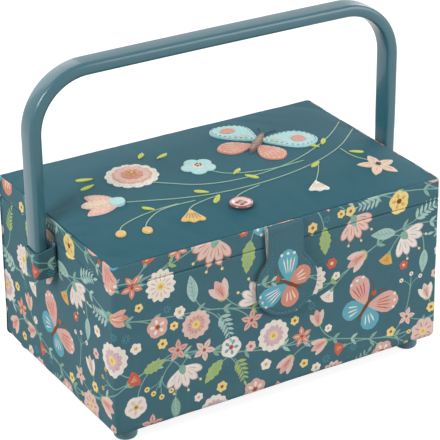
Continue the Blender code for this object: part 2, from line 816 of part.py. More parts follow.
def make_handle_sleeves():
    """The fabric sleeve that closes round each end of the bow and hides its rivet."""
    half_depth = handle_depth / 2 + gap
    toe = handle_pivot_height - handle_toe - gap
    for hand, side in (("left", -1), ("right", 1)):
        near = side * sleeve_inner
        far = side * sleeve_outer
        low = (min(near, far), body_y - half_depth - sleeve_wall, toe - sleeve_wall)
        high = (max(near, far), body_y + half_depth + sleeve_wall, handle_pivot_height + sleeve_rise)
        rounding = {"upright": sleeve_round, "low_roll": sleeve_round}
        sleeve = block("handle_sleeve_" + hand, low, high, FABRIC, handle_pivot, **rounding)
        near += side * sleeve_wall
        far -= side * sleeve_wall
        low = (min(near, far), body_y - half_depth, toe)
        high = (max(near, far), body_y + half_depth, handle_pivot_height + sleeve_rise + overrun)
        boolean(sleeve, block_cutter("leg_pocket_" + hand, low, high))
        start = (side * (sleeve_inner - overrun), body_y, handle_pivot_height)
        end = (side * leg_inner, body_y, handle_pivot_height)
        hole = rod_cutter("sleeve_rivet_hole_" + hand, rivet_radius + gap, start, end)
        boolean(sleeve, hole)


def make_hinge_tape():
    """The cotton tape across the back, a strip on the case and a strip on the lid."""
    half_x = body_width / 2 - tape_inset
    high = (half_x, back_y + gap + tape_thickness, seam_height - tape_clear_of_axis)
    low = (-half_x, back_y + gap, seam_height - tape_clear_of_axis - tape_lower_width)
    block("hinge_tape_lower", low, high, FABRIC, case_frame)
    low = (-half_x, back_y + gap, seam_height + tape_clear_of_axis)
    high = (half_x, back_y + gap + tape_thickness, seam_height + tape_clear_of_axis + tape_upper_width)
    block("hinge_tape_upper", low, high, FABRIC, lid_pivot)


def make_all():
    """Build the case, the lid, the clasp and the handle."""
    make_feet()
    make_foot_screws()
    make_case_boards()
    make_body_cover()
    make_base_cover()
    make_body_lining()
    make_tray_ledges()
    make_tray()
    make_catch_plate()
    make_handle_rivets()
    make_lid_top()
    make_lid_rim_cover()
    make_lid_boards()
    make_lid_lining()
    make_button()
    make_clasp()
    make_handle_bow()
    make_handle_sleeves()
    make_hinge_tape()


make_all()
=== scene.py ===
# %% [markdown]
# This script dresses a fabric-covered sewing box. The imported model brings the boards, the
# tray, the rivets and the joints at their real size, and here they get their cloth, felt,
# thread and plastic. Every piece is made in metres, in the same place as the solid that it
# stands for, so nothing has to be fitted afterwards.

# %% Load the frame
import math
import random

import bmesh
import bpy
import numpy as np
from mathutils import Matrix, Vector
from mathutils.bvhtree import BVHTree
from mathutils.geometry import delaunay_2d_cdt


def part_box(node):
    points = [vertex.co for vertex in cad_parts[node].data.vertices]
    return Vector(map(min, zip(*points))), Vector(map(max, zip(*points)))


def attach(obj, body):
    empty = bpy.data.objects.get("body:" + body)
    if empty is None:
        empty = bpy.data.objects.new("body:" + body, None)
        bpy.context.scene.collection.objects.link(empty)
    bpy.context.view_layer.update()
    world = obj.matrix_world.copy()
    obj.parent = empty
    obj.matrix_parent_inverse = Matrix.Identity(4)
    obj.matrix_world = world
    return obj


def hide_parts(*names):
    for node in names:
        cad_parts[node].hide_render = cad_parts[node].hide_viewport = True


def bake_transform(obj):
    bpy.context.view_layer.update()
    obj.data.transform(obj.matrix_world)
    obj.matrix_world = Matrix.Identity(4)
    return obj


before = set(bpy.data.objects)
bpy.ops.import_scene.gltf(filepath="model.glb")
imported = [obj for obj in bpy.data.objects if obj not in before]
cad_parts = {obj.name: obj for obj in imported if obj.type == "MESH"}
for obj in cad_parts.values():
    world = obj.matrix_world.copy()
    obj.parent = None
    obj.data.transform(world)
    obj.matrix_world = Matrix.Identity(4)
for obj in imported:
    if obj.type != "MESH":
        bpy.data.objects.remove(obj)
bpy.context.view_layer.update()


def add_object(name, data):
    """An object in the scene."""
    made = bpy.data.objects.new(name, data)
    bpy.context.scene.collection.objects.link(made)
    return made

# %% [markdown]
# A maker measures the box before cutting cloth. These sizes are read from the packed
# solids, and the few that a box cannot tell, such as the radius of a corner, are named here.

# %% Measure the box
MM = 0.001
case_low, case_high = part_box("body_cover")
rim_low, rim_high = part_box("lid_rim_cover")
tab_low, tab_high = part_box("clasp_front_cover")
half_width = (case_high.x - case_low.x) / 2
half_depth = (case_high.y - case_low.y) / 2
middle_y = (case_high.y + case_low.y) / 2
lid_edge = tab_high.z - 0.3 * MM
corner_radius = 2.8 * MM
bottom_roll = 4.6 * MM
seam_roll = 1.2 * MM
print("Case", round(2 * half_width / MM), "x", round(2 * half_depth / MM), "mm")

# %% [markdown]
# The camera stands where the photographer stood: a little to the left, looking down by
# twenty-six degrees, with a long lens that keeps the edges nearly parallel. The distance
# and the lens came from matching the box's corners, so they are kept as they are.

# %% Set up the camera
view_turn = math.radians(-31.35)
view_rise = math.radians(26.40)
view_distance = 1.4361
view_target = Vector((0.03101, 0.05086, 0.07247))
outwards = math.cos(view_rise)
back = Vector((math.sin(view_turn) * outwards, -math.cos(view_turn) * outwards, math.sin(view_rise)))
camera_data = bpy.data.cameras.new("product_camera")
camera_data.sensor_width = 36
camera_data.lens = 159.36
camera = add_object("product_camera", camera_data)
camera.location = view_target + back * view_distance
camera.rotation_mode = "QUATERNION"
camera.rotation_quaternion = (-back).to_track_quat("-Z", "Y")
bpy.context.scene.camera = camera
bpy.context.scene.view_settings.view_transform = "Standard"
print("Camera at", [round(part, 3) for part in camera.location])

# %% [markdown]
# Shader nodes are easier to read when each one is a single line. These helpers add a node,
# set its values and link what feeds it, and turn a colour from the eye's scale of 0 to 255
# into the linear light that shaders work in.

# %% Helpers for colours and nodes
def linear(value):
    """One channel from 0 to 255 as linear light."""
    share = value / 255
    if share <= 0.04045:
        return share / 12.92
    return ((share + 0.055) / 1.055) ** 2.4


def paint(red, green, blue):
    """A colour as the eye reads it, for a shader."""
    return (linear(red), linear(green), linear(blue), 1.0)


def add_node(tree, kind, settings=None, inputs=None):
    """Add a shader node, set what it is told and link what feeds it."""
    made = tree.nodes.new(kind)
    for name, value in (settings or {}).items():
        setattr(made, name, value)
    for name, value in (inputs or {}).items():
        if isinstance(value, bpy.types.NodeSocket):
            tree.links.new(value, made.inputs[name])
        else:
            made.inputs[name].default_value = value
    return made


def maths(tree, operation, *values):
    """The output of one Math node."""
    feeds = dict(enumerate(values))
    return add_node(tree, "ShaderNodeMath", {"operation": operation}, feeds).outputs[0]


def scaled(tree, vector, factors):
    """A vector with each part multiplied by its own factor."""
    feeds = {0: vector, 1: factors}
    return add_node(tree, "ShaderNodeVectorMath", {"operation": "MULTIPLY"}, feeds).outputs[0]


def noise(tree, vector, scale, detail=2.0):
    """A noise texture's grey value."""
    feeds = {"Vector": vector, "Scale": scale, "Detail": detail}
    return add_node(tree, "ShaderNodeTexNoise", None, feeds).outputs[0]


def new_group(name, inputs, outputs):
    """An empty shader group with its named inputs and outputs."""
    group = bpy.data.node_groups.new(name, "ShaderNodeTree")
    for label, kind, value in inputs:
        socket = group.interface.new_socket(label, in_out="INPUT", socket_type=kind)
        if value is not None:
            socket.default_value = value
    for label, kind in outputs:
        group.interface.new_socket(label, in_out="OUTPUT", socket_type=kind)
    start = group.nodes.new("NodeGroupInput")
    end = group.nodes.new("NodeGroupOutput")
    return group, start, end


def attribute(tree, name, output):
    """What the mesh itself says at a place."""
    return add_node(tree, "ShaderNodeAttribute", {"attribute_name": name}).outputs[output]


def plain_colour(tree, colour):
    """One colour as a node's output."""
    made = add_node(tree, "ShaderNodeRGB").outputs[0]
    made.default_value = colour
    return made


def seen_by_camera(tree):
    """1 for what the camera sees, also in a mirror or through glass, and 0 for other light."""
    ray = add_node(tree, "ShaderNodeLightPath").outputs
    seen = maths(tree, "MAXIMUM", ray["Is Camera Ray"], ray["Is Transmission Ray"])
    return maths(tree, "MAXIMUM", seen, ray["Is Glossy Ray"])


def new_material(name, values):
    """A new material, its tree and its shader, with some of the shader's values set."""
    made = bpy.data.materials.new(name)
    made.use_nodes = True
    shader = made.node_tree.nodes["Principled BSDF"]
    for label, value in values.items():
        shader.inputs[label].default_value = value
    return made, made.node_tree, shader


def tinted(tree, shader, colour, tint):
    """Give the surface a colour that a tint makes lighter or darker."""
    feeds = {0: colour, "Scale": tint}
    made = add_node(tree, "ShaderNodeVectorMath", {"operation": "SCALE"}, feeds)
    tree.links.new(made.outputs[0], shader.inputs["Base Color"])


def bumped(tree, shader, height, distance, strength):
    """Raise the surface by a height."""
    feeds = {"Height": height, "Distance": distance, "Strength": strength}
    made = add_node(tree, "ShaderNodeBump", None, feeds)
    tree.links.new(made.outputs[0], shader.inputs["Normal"])


FLOAT = "NodeSocketFloat"
VECTOR = "NodeSocketVector"
print("Teal in linear light", [round(c, 3) for c in paint(70, 112, 122)])

# %% [markdown]
# A product photograph is lit by large soft lights in a white room. The world is the room's
# fill light. The key lamp stands to the left and a little to the front, so the handle throws
# its shadow across the lid, a broad lamp fills the front, and two weak ones stand behind, one of
# them at the right. The floor reads as white to the camera, but still takes the soft shadow.

# %% Light the studio
fill_strength = 0.47
world = bpy.data.worlds.new("white_room")
world.use_nodes = True
bpy.context.scene.world = world
room = world.node_tree
room.nodes.clear()
extra = maths(room, "MULTIPLY", seen_by_camera(room), 1.0 - fill_strength)
strength = maths(room, "ADD", extra, fill_strength)
sky = add_node(room, "ShaderNodeBackground", None, {"Color": (1, 1, 1, 1), "Strength": strength})
add_node(room, "ShaderNodeOutputWorld", None, {"Surface": sky.outputs[0]})


def soft_lamp(name, place, aim, size, power):
    """A large square lamp that looks at a point."""
    data = bpy.data.lights.new(name, "AREA")
    data.shape = "SQUARE"
    data.size = size
    data.energy = power
    lamp = add_object(name, data)
    lamp.location = place
    lamp.rotation_euler = (Vector(aim) - Vector(place)).to_track_quat("-Z", "Y").to_euler()
    return lamp


box_middle = (0, 0, 0.1)
soft_lamp("left_softbox", (-1.4, -0.4, 1.05), box_middle, 0.6, 18)
soft_lamp("front_softbox", (0.95, -1.1, 0.45), box_middle, 1.0, 12.5)
soft_lamp("right_softbox", (1.3, 0.65, 0.7), box_middle, 0.9, 7)
soft_lamp("back_softbox", (-0.2, 1.45, 0.75), box_middle, 1.3, 8)
print("Fill light", fill_strength)

# %% Lay the floor
floor_lift = 0.86
floor_mesh = bpy.data.meshes.new("floor")
shape = bmesh.new()
bmesh.ops.create_grid(shape, x_segments=8, y_segments=8, size=3.0)
shape.to_mesh(floor_mesh)
shape.free()
floor = add_object("floor", floor_mesh)
floor_look = bpy.data.materials.new("pale_floor")
floor_look.use_nodes = True
tree = floor_look.node_tree
tree.nodes.clear()
pale_grey = (0.3, 0.3, 0.3, 1)
surface = add_node(tree, "ShaderNodeBsdfDiffuse", None, {"Color": pale_grey})
lift = maths(tree, "MULTIPLY", seen_by_camera(tree), floor_lift)
glow = add_node(tree, "ShaderNodeEmission", None, {"Color": (1, 1, 1, 1), "Strength": lift})
both = add_node(tree, "ShaderNodeAddShader", None, {0: surface.outputs[0], 1: glow.outputs[0]})
add_node(tree, "ShaderNodeOutputMaterial", None, {"Surface": both.outputs[0]})
floor_mesh.materials.append(floor_look)
print("Floor laid")

# %% [markdown]
# All the cloth on the box is plain-woven cotton. Its look comes from three scales at once:
# the over-and-under of single threads, slubs where a thread is thicker for a few
# centimetres, and slow changes in the dye. One shader group makes all three from the
# cloth's own coordinates, which every panel carries in metres.

# %% Weave the cotton
weave, start, end = new_group(
    "cotton_weave",
    [("Place", VECTOR, None), ("Thread", FLOAT, 0.55 * MM), ("Slub", FLOAT, 0.22), ("Dye", FLOAT, 0.12)],
    [("Tint", FLOAT), ("Height", FLOAT)],
)
given = start.outputs
per_thread = maths(weave, "DIVIDE", math.pi, given["Thread"])
feeds = {0: given["Place"], "Scale": per_thread}
spread = add_node(weave, "ShaderNodeVectorMath", {"operation": "SCALE"}, feeds)
along = add_node(weave, "ShaderNodeSeparateXYZ", None, {0: spread.outputs[0]})
warp = maths(weave, "SINE", along.outputs[0])
weft = maths(weave, "SINE", along.outputs[1])
warp_up = maths(weave, "GREATER_THAN", maths(weave, "MULTIPLY", warp, weft), 0.0)
warp_high = maths(weave, "MULTIPLY", maths(weave, "ABSOLUTE", warp), warp_up)
weft_down = maths(weave, "SUBTRACT", 1.0, warp_up)
weft_high = maths(weave, "MULTIPLY", maths(weave, "ABSOLUTE", weft), weft_down)
thread_height = maths(weave, "ADD", warp_high, weft_high)
slub_one = noise(weave, scaled(weave, given["Place"], (900, 45, 1)), 1.0)
slub_two = noise(weave, scaled(weave, given["Place"], (45, 900, 1)), 1.0)
slub = maths(weave, "SUBTRACT", maths(weave, "ADD", slub_one, slub_two), 1.0)
dye = maths(weave, "SUBTRACT", noise(weave, given["Place"], 55.0), 0.5)
tint = maths(weave, "ADD", 1.0, maths(weave, "MULTIPLY", slub, given["Slub"]))
tint = maths(weave, "ADD", tint, maths(weave, "MULTIPLY", dye, given["Dye"]))
# The thread crowns are painted a little lighter and the hollows between threads a little darker: painted
# shade of the weave, on top of its bump.
weave_hollow_shade = maths(weave, "MULTIPLY", maths(weave, "SUBTRACT", thread_height, 0.64), 0.10)
weave.links.new(maths(weave, "ADD", tint, weave_hollow_shade), end.inputs["Tint"])
thick_thread = maths(weave, "ADD", thread_height, maths(weave, "MULTIPLY", slub, 1.5))
weave.links.new(thick_thread, end.inputs["Height"])
print("cotton_weave has", len(weave.nodes), "nodes")

# %% [markdown]
# Printed and plain cotton share the weave. The print's colours are stored on the corners of
# each face, so the edges of a petal stay sharp at any distance, and the shader only has to
# read them. Plain cotton takes one colour. Cotton is matt, with a faint sheen at the edges.

# %% Cotton materials
def cotton(name, colour=None, thread=0.55 * MM, slub=0.22, dye=0.12, rough=0.86, sheen=0.05, gloss=0.25):
    """Woven cotton: printed where it has no colour of its own, plain where it has."""
    values = {"Sheen Weight": sheen, "Sheen Roughness": 0.5, "Specular IOR Level": gloss}
    made, tree, shader = new_material(name, values)
    feeds = {"Place": attribute(tree, "cloth_place", "Vector"), "Thread": thread, "Slub": slub, "Dye": dye}
    woven = add_node(tree, "ShaderNodeGroup", {"node_tree": weave}, feeds).outputs
    ink = plain_colour(tree, colour) if colour else attribute(tree, "print", "Color")
    tinted(tree, shader, ink, woven["Tint"])
    change = maths(tree, "MULTIPLY", woven["Height"], 0.06)
    tree.links.new(maths(tree, "ADD", change, rough - 0.04), shader.inputs["Roughness"])
    bumped(tree, shader, woven["Height"], 0.12 * MM, 0.6)
    return made


ground_colour = paint(66, 107, 118)
printed_cotton = cotton("printed_cotton")
lid_cotton = cotton("lid_cotton", paint(36, 91, 104), slub=0.12, dye=0.10, rough=0.68, sheen=0.0, gloss=0.26)
print("Cottons:", printed_cotton.name, lid_cotton.name)

# %% [markdown]
# The print is drawn as a designer draws it, in flat shapes on the cloth. A point is one
# complex number, x along the cloth and y up it, because then a turn is one multiplication.
# A mark is an outline with a colour, and later marks cover earlier ones. The motifs are plain
# garden flowers, leaves, berries and butterflies, each drawn at size 1 round its own middle.

# %% Outlines of petals, discs and stems
def spin(turn):
    """The complex number that turns a point by an angle."""
    return np.exp(1j * turn)


def petal(length, width, fullness=1.3, blunt=0.7, points=7):
    """A petal from 0 along x: its widest place moves out with fullness, blunt rounds its ends."""
    along = (1 - np.cos(np.pi * np.linspace(0, 1, points))) / 2
    half = width / 2 * np.sin(np.pi * along**fullness).clip(0) ** blunt
    edge = length * along + 1j * half
    return np.concatenate([edge, np.conj(edge[-2:0:-1])])


def disc(radius, points=10):
    """A round dot."""
    return radius * np.exp(2j * np.pi * np.arange(points) / points)


def scallop(radius, lobes, depth, points_each=5):
    """A round outline with lobes, as of a full flower head."""
    turn = 2 * np.pi * np.arange(lobes * points_each) / (lobes * points_each)
    return radius * (1 - depth + depth * np.abs(np.cos(lobes * turn / 2)) ** 0.7) * spin(turn)


def ribbon(line, width):
    """A band of even width along a line of points."""
    line = np.asarray(line)
    side = 1j * np.gradient(line)
    side = side / np.abs(side) * width / 2
    return np.concatenate([line - side, (line + side)[::-1]])


def bend(start, control, finish, points=9):
    """A curve from start to finish that is drawn towards its control point."""
    t = np.linspace(0, 1, points)
    return (1 - t) ** 2 * start + 2 * t * (1 - t) * control + t**2 * finish

def turned(shape, turns, shift=0):
    """Copies of a shape turned about 0 and then shifted."""
    return [shape * spin(t) + shift for t in turns]


def area_of(outline):
    """The area in a closed outline, below zero where it runs clockwise."""
    after = np.roll(outline, -1)
    return np.sum(outline.real * after.imag - outline.imag * after.real) / 2


def anticlockwise(outline):
    """The outline, turned round where it runs clockwise."""
    return outline[::-1] if area_of(outline) < 0 else outline


def lengths(line):
    """How far along a line each of its points is."""
    return np.concatenate([[0], np.cumsum(np.abs(np.diff(line)))])


def walk(line, at):
    """The points at some lengths along a line."""
    passed = lengths(line)
    return np.interp(at, passed, line.real) + 1j * np.interp(at, passed, line.imag)


def moved(marks, place, turn, scale):
    """Marks scaled, turned and moved."""
    way = scale * spin(turn)
    return [(outline * way + place, colour) for outline, colour in marks]


print("A petal has", len(petal(1, 0.5)), "points")

# %% Inks of the print
INK = {
    "cream": paint(240, 230, 218),
    "blush": paint(230, 200, 190),
    "pink": paint(224, 176, 164),
    "mauve": paint(216, 188, 196),
    "salmon": paint(218, 146, 122),
    "coral": paint(206, 100, 84),
    "rust": paint(184, 98, 58),
    "mustard": paint(222, 176, 92),
    "butter": paint(240, 216, 142),
    "sage": paint(140, 176, 160),
    "mint": paint(170, 200, 192),
    "lime": paint(166, 188, 112),
    "aqua": paint(100, 172, 188),
    "stem": paint(132, 172, 158),
    "brown": paint(120, 74, 50),
}
print(len(INK), "inks")


def inked(colour, *outlines):
    """Marks of one ink."""
    return [(outline, INK[colour]) for outline in outlines]


def pick(rng, looks):
    """The inks of one look from a list of looks."""
    return rng.choice(looks.split(", ")).split()
# %% Flowers of the print
def ring_of(shape, count, reach=0.0):
    """Copies of a shape turned round the middle, each moved out by reach."""
    return [(shape + reach) * np.exp(2j * np.pi * i / count) for i in range(count)]


def daisy(rng):
    """Slim petals with a streak each, round a yellow eye."""
    count = rng.choice((8, 10, 12))
    face, streak = pick(rng, "cream pink, blush coral, cream mauve, pink coral")
    marks = inked(face, *ring_of(petal(1, 6.4 / count, 1.4), count))
    marks += inked(streak, *ring_of(petal(0.42, 0.09, points=4), count, 0.3))
    return marks + inked("butter", disc(0.27)) + inked("mustard", disc(0.13, 7))


def blossom(rng):
    """Five broad petals with an inner petal of another colour."""
    looks = "cream aqua coral, butter mustard brown, blush pink mustard, "
    looks += "coral salmon butter, cream blush mustard, pink cream rust"
    face, inner, eye = pick(rng, looks)
    count = rng.choice((5, 5, 6))
    marks = inked(face, *ring_of(petal(1, 5.2 / count, 1.7, 0.6), count))
    marks += inked(inner, *ring_of(petal(0.5, 0.3), count, 0.22))
    return marks + inked(eye, disc(0.24)) + inked("brown", disc(0.1, 6))


def full_head(rng):
    """A full flower head: three scalloped rings with fine lines and a yellow eye."""
    face, second, line = pick(rng, "cream mauve salmon, blush pink rust, cream butter mustard")
    marks = inked(face, scallop(1, 13, 0.16)) + inked(second, scallop(0.68, 11, 0.2, 4))
    marks += inked(line, *ring_of(petal(0.26, 0.05, points=3), 13, 0.36))
    marks += inked("butter", scallop(0.3, 8, 0.25, 3))
    return marks + inked("mustard", disc(0.13, 6))


def star(rng):
    """Five pointed petals with a line down each, round a dark eye."""
    face, line = pick(rng, "salmon cream, blush salmon, pink rust")
    marks = inked(face, *ring_of(petal(1, 0.52, 1.0, 1.1), 5))
    marks += inked(line, *ring_of(petal(0.5, 0.09, points=4), 5, 0.25))
    return marks + inked("rust", disc(0.16, 8)) + inked("brown", disc(0.08, 5))


def button_flower(rng):
    """A small round flower."""
    face, eye = pick(rng, "cream mustard, coral butter, blush coral, butter rust")
    return inked(face, scallop(1, rng.choice((5, 6)), 0.3)) + inked(eye, disc(0.32, 7))


print("A daisy has", len(daisy(random.Random(1))), "marks")

# %% Buds, berries, leaves and butterflies of the print
def tulip(rng):
    """A cup of striped petals on green sepals, opening along x."""
    face, side, line = pick(rng, "pink blush coral, salmon pink cream, blush cream rust")
    marks = inked("lime", *turned(petal(0.6, 0.26, 0.9), (-0.9, 0.9), -1))
    marks += inked(side, *turned(petal(1.7, 0.62, 1.2), (-0.42, 0.42), -1))
    marks += inked(face, petal(1.8, 0.72, 1.2) - 1)
    stripe = petal(1.1, 0.06, points=4)
    return marks + inked(line, *turned(stripe, (-0.16, 0.0, 0.16), -0.75))


def fan_bud(rng):
    """A fan-shaped bud with ribs."""
    face, line = pick(rng, "mustard rust, cream salmon, coral butter")
    fan = np.concatenate([[-1], -1 + 1.8 * spin(np.linspace(-0.62, 0.62, 7))])
    marks = inked(face, fan) + inked("sage", petal(0.7, 0.5) - 1.1)
    rib = petal(0.9, 0.07, points=4)
    return marks + inked(line, *turned(rib, (-0.36, 0.0, 0.36), -0.3))


def berries(rng):
    """Three or four berries on stalks."""
    face = rng.choice(("butter", "mustard", "coral", "cream"))
    marks = []
    for t in np.linspace(-0.75, 0.75, rng.choice((3, 4))):
        tip = -1 + 1.75 * spin(t) * rng.uniform(0.85, 1.05)
        marks += inked("stem", ribbon(bend(-1, -0.2, tip, 5), 0.07))
        marks += inked(face, disc(0.24, 9) + tip) + inked("rust", disc(0.1, 5) + tip)
    return marks


def sprig(rng):
    """A twig with pairs of leaves, along x."""
    face = rng.choice(("sage", "mint", "lime", "mint"))
    spine = bend(-1, 0.3j, 1, 7)
    marks = inked("stem", ribbon(spine, 0.06))
    for i in range(1, 6):
        leaf_turn = np.angle(spine[i] - spine[i - 1])
        reach = (0.8 - 0.07 * i)
        leaf = petal(reach, reach * 0.36, 0.9, 0.9, 5)
        marks += inked(face, *turned(leaf, (leaf_turn - 0.8, leaf_turn + 0.8), spine[i]))
    return marks + inked(face, petal(0.5, 0.2, 0.9, 0.9, 5) + 1)


def big_leaf(rng):
    """A broad leaf with a midrib and veins."""
    face, vein = pick(rng, "lime sage, sage mint, mint stem, mint sage")
    edge = petal(2, 0.8, 0.85, 0.9, 15)
    if face == "lime":
        edge.imag *= 1 + 0.3 * (np.arange(len(edge)) % 2)
    marks = inked(face, edge - 1)
    marks += inked(vein, ribbon(np.linspace(-1, 0.75, 4) + 0j, 0.05))
    for x in np.linspace(-0.6, 0.35, 4):
        root = x + 0j
        for side in (-1, 1):
            tip = root + 0.33 * spin(side * 0.75)
            marks += inked(vein, ribbon(np.array([root, tip]), 0.045))
    return marks


def half_bloom(rng):
    """A bloom from the side: a fan of petals on a green cup, with three stamens."""
    face, line = pick(rng, "blush salmon, pink coral, salmon cream, cream mauve")
    marks = []
    for t in (-0.55, 0.0, 0.55):
        tip = -1 + 2.1 * spin(t)
        marks += inked("stem", ribbon(np.array([-1 + 0j, tip]), 0.06))
        marks += inked("butter", disc(0.11, 7) + tip)
    for t in (-0.95, 0.95, -0.5, 0.5, 0.0):
        for colour, length, width in ((line, 1.8, 0.66), (face, 1.7, 0.56)):
            marks += inked(colour, *turned(petal(length, width, 1.9, 0.55, 9), (t,), -1))
    streak = petal(0.75, 0.12, points=4) + 0.6
    marks += inked(line, *turned(streak, (-0.95, -0.5, 0.0, 0.5, 0.95), -1))
    return marks + inked("sage", petal(0.85, 0.6, 0.8, 0.7) - 1.15)


def butterfly(rng, shade=0):
    """A butterfly from above, its head along x, with ribbed wings and spotted tips."""
    kinds = (("coral", "butter", "cream"), ("pink", "aqua", "coral"), ("aqua", "salmon", "cream"))
    upper, lower, rib = kinds[(rng.randrange(3) + shade) % 3]
    fore, hind = petal(1.06, 0.66, 1.6, 0.6, 9), petal(0.8, 0.62, 1.5, 0.6, 8)
    long_rib = petal(0.52, 0.045, points=4) + 0.3
    short_rib = petal(0.34, 0.05, points=4) + 0.28
    marks = []
    for side in (-1, 1):
        marks += inked(lower, *turned(hind, (side * 2.25,))) + inked(upper, *turned(fore, (side * 1.02,)))
        marks += inked(rib, *turned(long_rib, [side * t for t in (0.82, 0.98, 1.14, 1.3)]))
        for t in (0.8, 1.02, 1.24):
            marks += inked("cream", disc(0.05, 6) + 0.93 * spin(side * t))
        marks += inked("cream", *turned(short_rib, [side * t for t in (2.05, 2.3, 2.55)]))
        feeler = bend(0.25, (0.55 + 0.05j * side), (0.66 + 0.3j * side), 6)
        marks += inked("brown", ribbon(feeler, 0.035))
    marks += inked("brown", petal(0.95, 0.13, 1.0, 0.8) - 0.55)
    return marks + inked("rust", disc(0.085, 8) + 0.4)


def spark(rng):
    """Eight fine lines, as a snow crystal."""
    return inked("aqua", *ring_of(petal(0.8, 0.13, points=4), 8, 0.2))


print("A butterfly has", len(butterfly(random.Random(1))), "marks")

# %% [markdown]
# A printed cloth repeats. Three repeats go exactly once round the case, so the pattern
# meets itself at the seam. Motifs are placed from large to small, each in the emptiest of
# many tried places. Long vines run through the repeat, every flower hangs on the nearest
# vine by a curved stem, and the vines carry small leaves where nothing covers them.

# %% Design the repeat
way_round = 4 * (half_width + half_depth) - (8 - 2 * math.pi) * corner_radius
repeat_width = way_round / 3
repeat_height = 190 * MM
stem_width = 0.8 * MM
vine_rises = ((0.13, 0.075, 0.4), (0.40, 0.085, 2.6), (0.66, 0.075, 4.6), (0.90, 0.06, 1.1))


def vine(number, along):
    """A point of one vine: a slow wave that closes over one repeat."""
    level, swing, phase = vine_rises[number]
    wave = np.sin(2 * np.pi * along / repeat_width + phase)
    wave = wave + 0.35 * np.sin(4 * np.pi * along / repeat_width + 2 * phase)
    return along + 1j * repeat_height * (level + swing * wave)


def apart(one, other):
    """The distance between two places of the cloth, which closes on itself along x."""
    step = one - other
    across = (step.real + repeat_width / 2) % repeat_width - repeat_width / 2
    return abs(across + 1j * step.imag)


def scatter(rng):
    """Places for all motifs, large ones first, each in the emptiest of many tried spots."""
    plan = ((butterfly, 5, 22, 26), (full_head, 5, 11, 13), (half_bloom, 6, 9, 11), (daisy, 7, 9.5, 12))
    plan += ((blossom, 9, 8, 10.5), (tulip, 8, 7.5, 10), (big_leaf, 12, 9, 11.5), (sprig, 16, 10, 13))
    plan += ((star, 12, 7.5, 9), (fan_bud, 9, 5.5, 6.5), (berries, 12, 7, 9), (button_flower, 30, 3.2, 4.6))
    plan += ((spark, 12, 3, 3.8),)
    placed = []
    for motif, count, small, large in plan:
        for _ in range(count):
            size = rng.uniform(small, large) * MM
            best, spot = -1.0, None
            for _ in range(90):
                tried = complex(rng.uniform(0, repeat_width), rng.uniform(0, repeat_height))
                room = min([apart(tried, p) - s for _, s, p in placed], default=1.0) - size
                if room > best:
                    best, spot = room, tried
            if spot is not None and best > -0.12 * size:
                placed.append((motif, size, spot))
    return placed


def hang(spot, rng):
    """A stem from the nearest vine to a place: the curve, and the way it points at its end."""
    gaps = [abs(vine(i, spot.real).imag - spot.imag) for i in range(len(vine_rises))]
    number = int(np.argmin(gaps))
    lead = rng.choice((-1, 1)) * rng.uniform(16, 30) * MM
    root = vine(number, spot.real - lead)
    along = vine(number, spot.real - lead + 1 * MM * np.sign(lead)) - root
    control = root + along / abs(along) * abs(spot - root) * 0.55
    return bend(root, control, spot), float(np.angle(spot - control))


def vine_leaves(rng):
    """Small leaves in pairs along the vines."""
    marks = []
    for number in range(len(vine_rises)):
        along = rng.uniform(0, 20) * MM
        while along < repeat_width:
            root = vine(number, along)
            turn = np.angle(vine(number, along + MM) - root)
            face = INK[rng.choice(("sage", "mint", "lime", "sage"))]
            for side in (-1, 1):
                leaf = petal(rng.uniform(6, 9) * MM, 2.7 * MM, 0.9, 0.9, 5)
                marks.append((leaf * spin((turn + side * rng.uniform(0.5, 0.9))) + root, face))
            along += rng.uniform(15, 26) * MM
    return marks


def design_repeat(seed):
    """All marks of one repeat, from the lowest to the highest."""
    rng = random.Random(seed)
    placed = scatter(rng)
    stems, heads = [], []
    for number in range(len(vine_rises)):
        steps = np.linspace(0, repeat_width, 90)
        stems.append((ribbon(vine(number, steps), stem_width * 1.1), INK["stem"]))
    stems += vine_leaves(rng)
    for number, (motif, size, spot) in enumerate(placed):
        turn = rng.uniform(0, 2 * math.pi) + 2.4 * number
        if motif not in (butterfly, spark, button_flower):
            stem, turn = hang(spot, rng)
            stems.append((ribbon(stem, stem_width), INK["stem"]))
        marks = butterfly(rng, round(size / (0.1 * MM))) if motif is butterfly else motif(rng)
        heads += moved(marks, spot, turn, size)
    print(len(placed), "motifs and", len(stems) + len(heads), "marks in a repeat of",
          round(repeat_width / MM), "x", round(repeat_height / MM), "mm")
    return stems + heads


repeat_marks = design_repeat(11)

# %% [markdown]
# A panel is cut from the cloth as with scissors: its outline, every mark that reaches into
# it, the lines where it will be folded and a lattice of points for its waves all go into
# one triangulation. Each triangle then takes the colour of the topmost mark over it. The
# flat panel keeps its own coordinates, and a function says where each point ends up.

# %% Cut a panel from the cloth
def shifted_marks(low, high):
    """The repeat's marks, copied along the cloth wherever they reach into a window."""
    found = []
    for outline, colour in repeat_marks:
        left, right = outline.real.min(), outline.real.max()
        if outline.imag.max() < low.imag or outline.imag.min() > high.imag:
            continue
        first = math.ceil((low.real - right) / repeat_width)
        last = math.floor((high.real - left) / repeat_width)
        found += [(outline + i * repeat_width, colour) for i in range(first, last + 1)]
    return found


def lattice(low, high, gap):
    """Points in even rows and columns inside a window."""
    x = np.linspace(low.real, high.real, max(2, round((high.real - low.real) / gap) + 1))
    y = np.linspace(low.imag, high.imag, max(2, round((high.imag - low.imag) / gap) + 1))
    across, up = np.meshgrid(x, y)
    return (across + 1j * up).ravel()


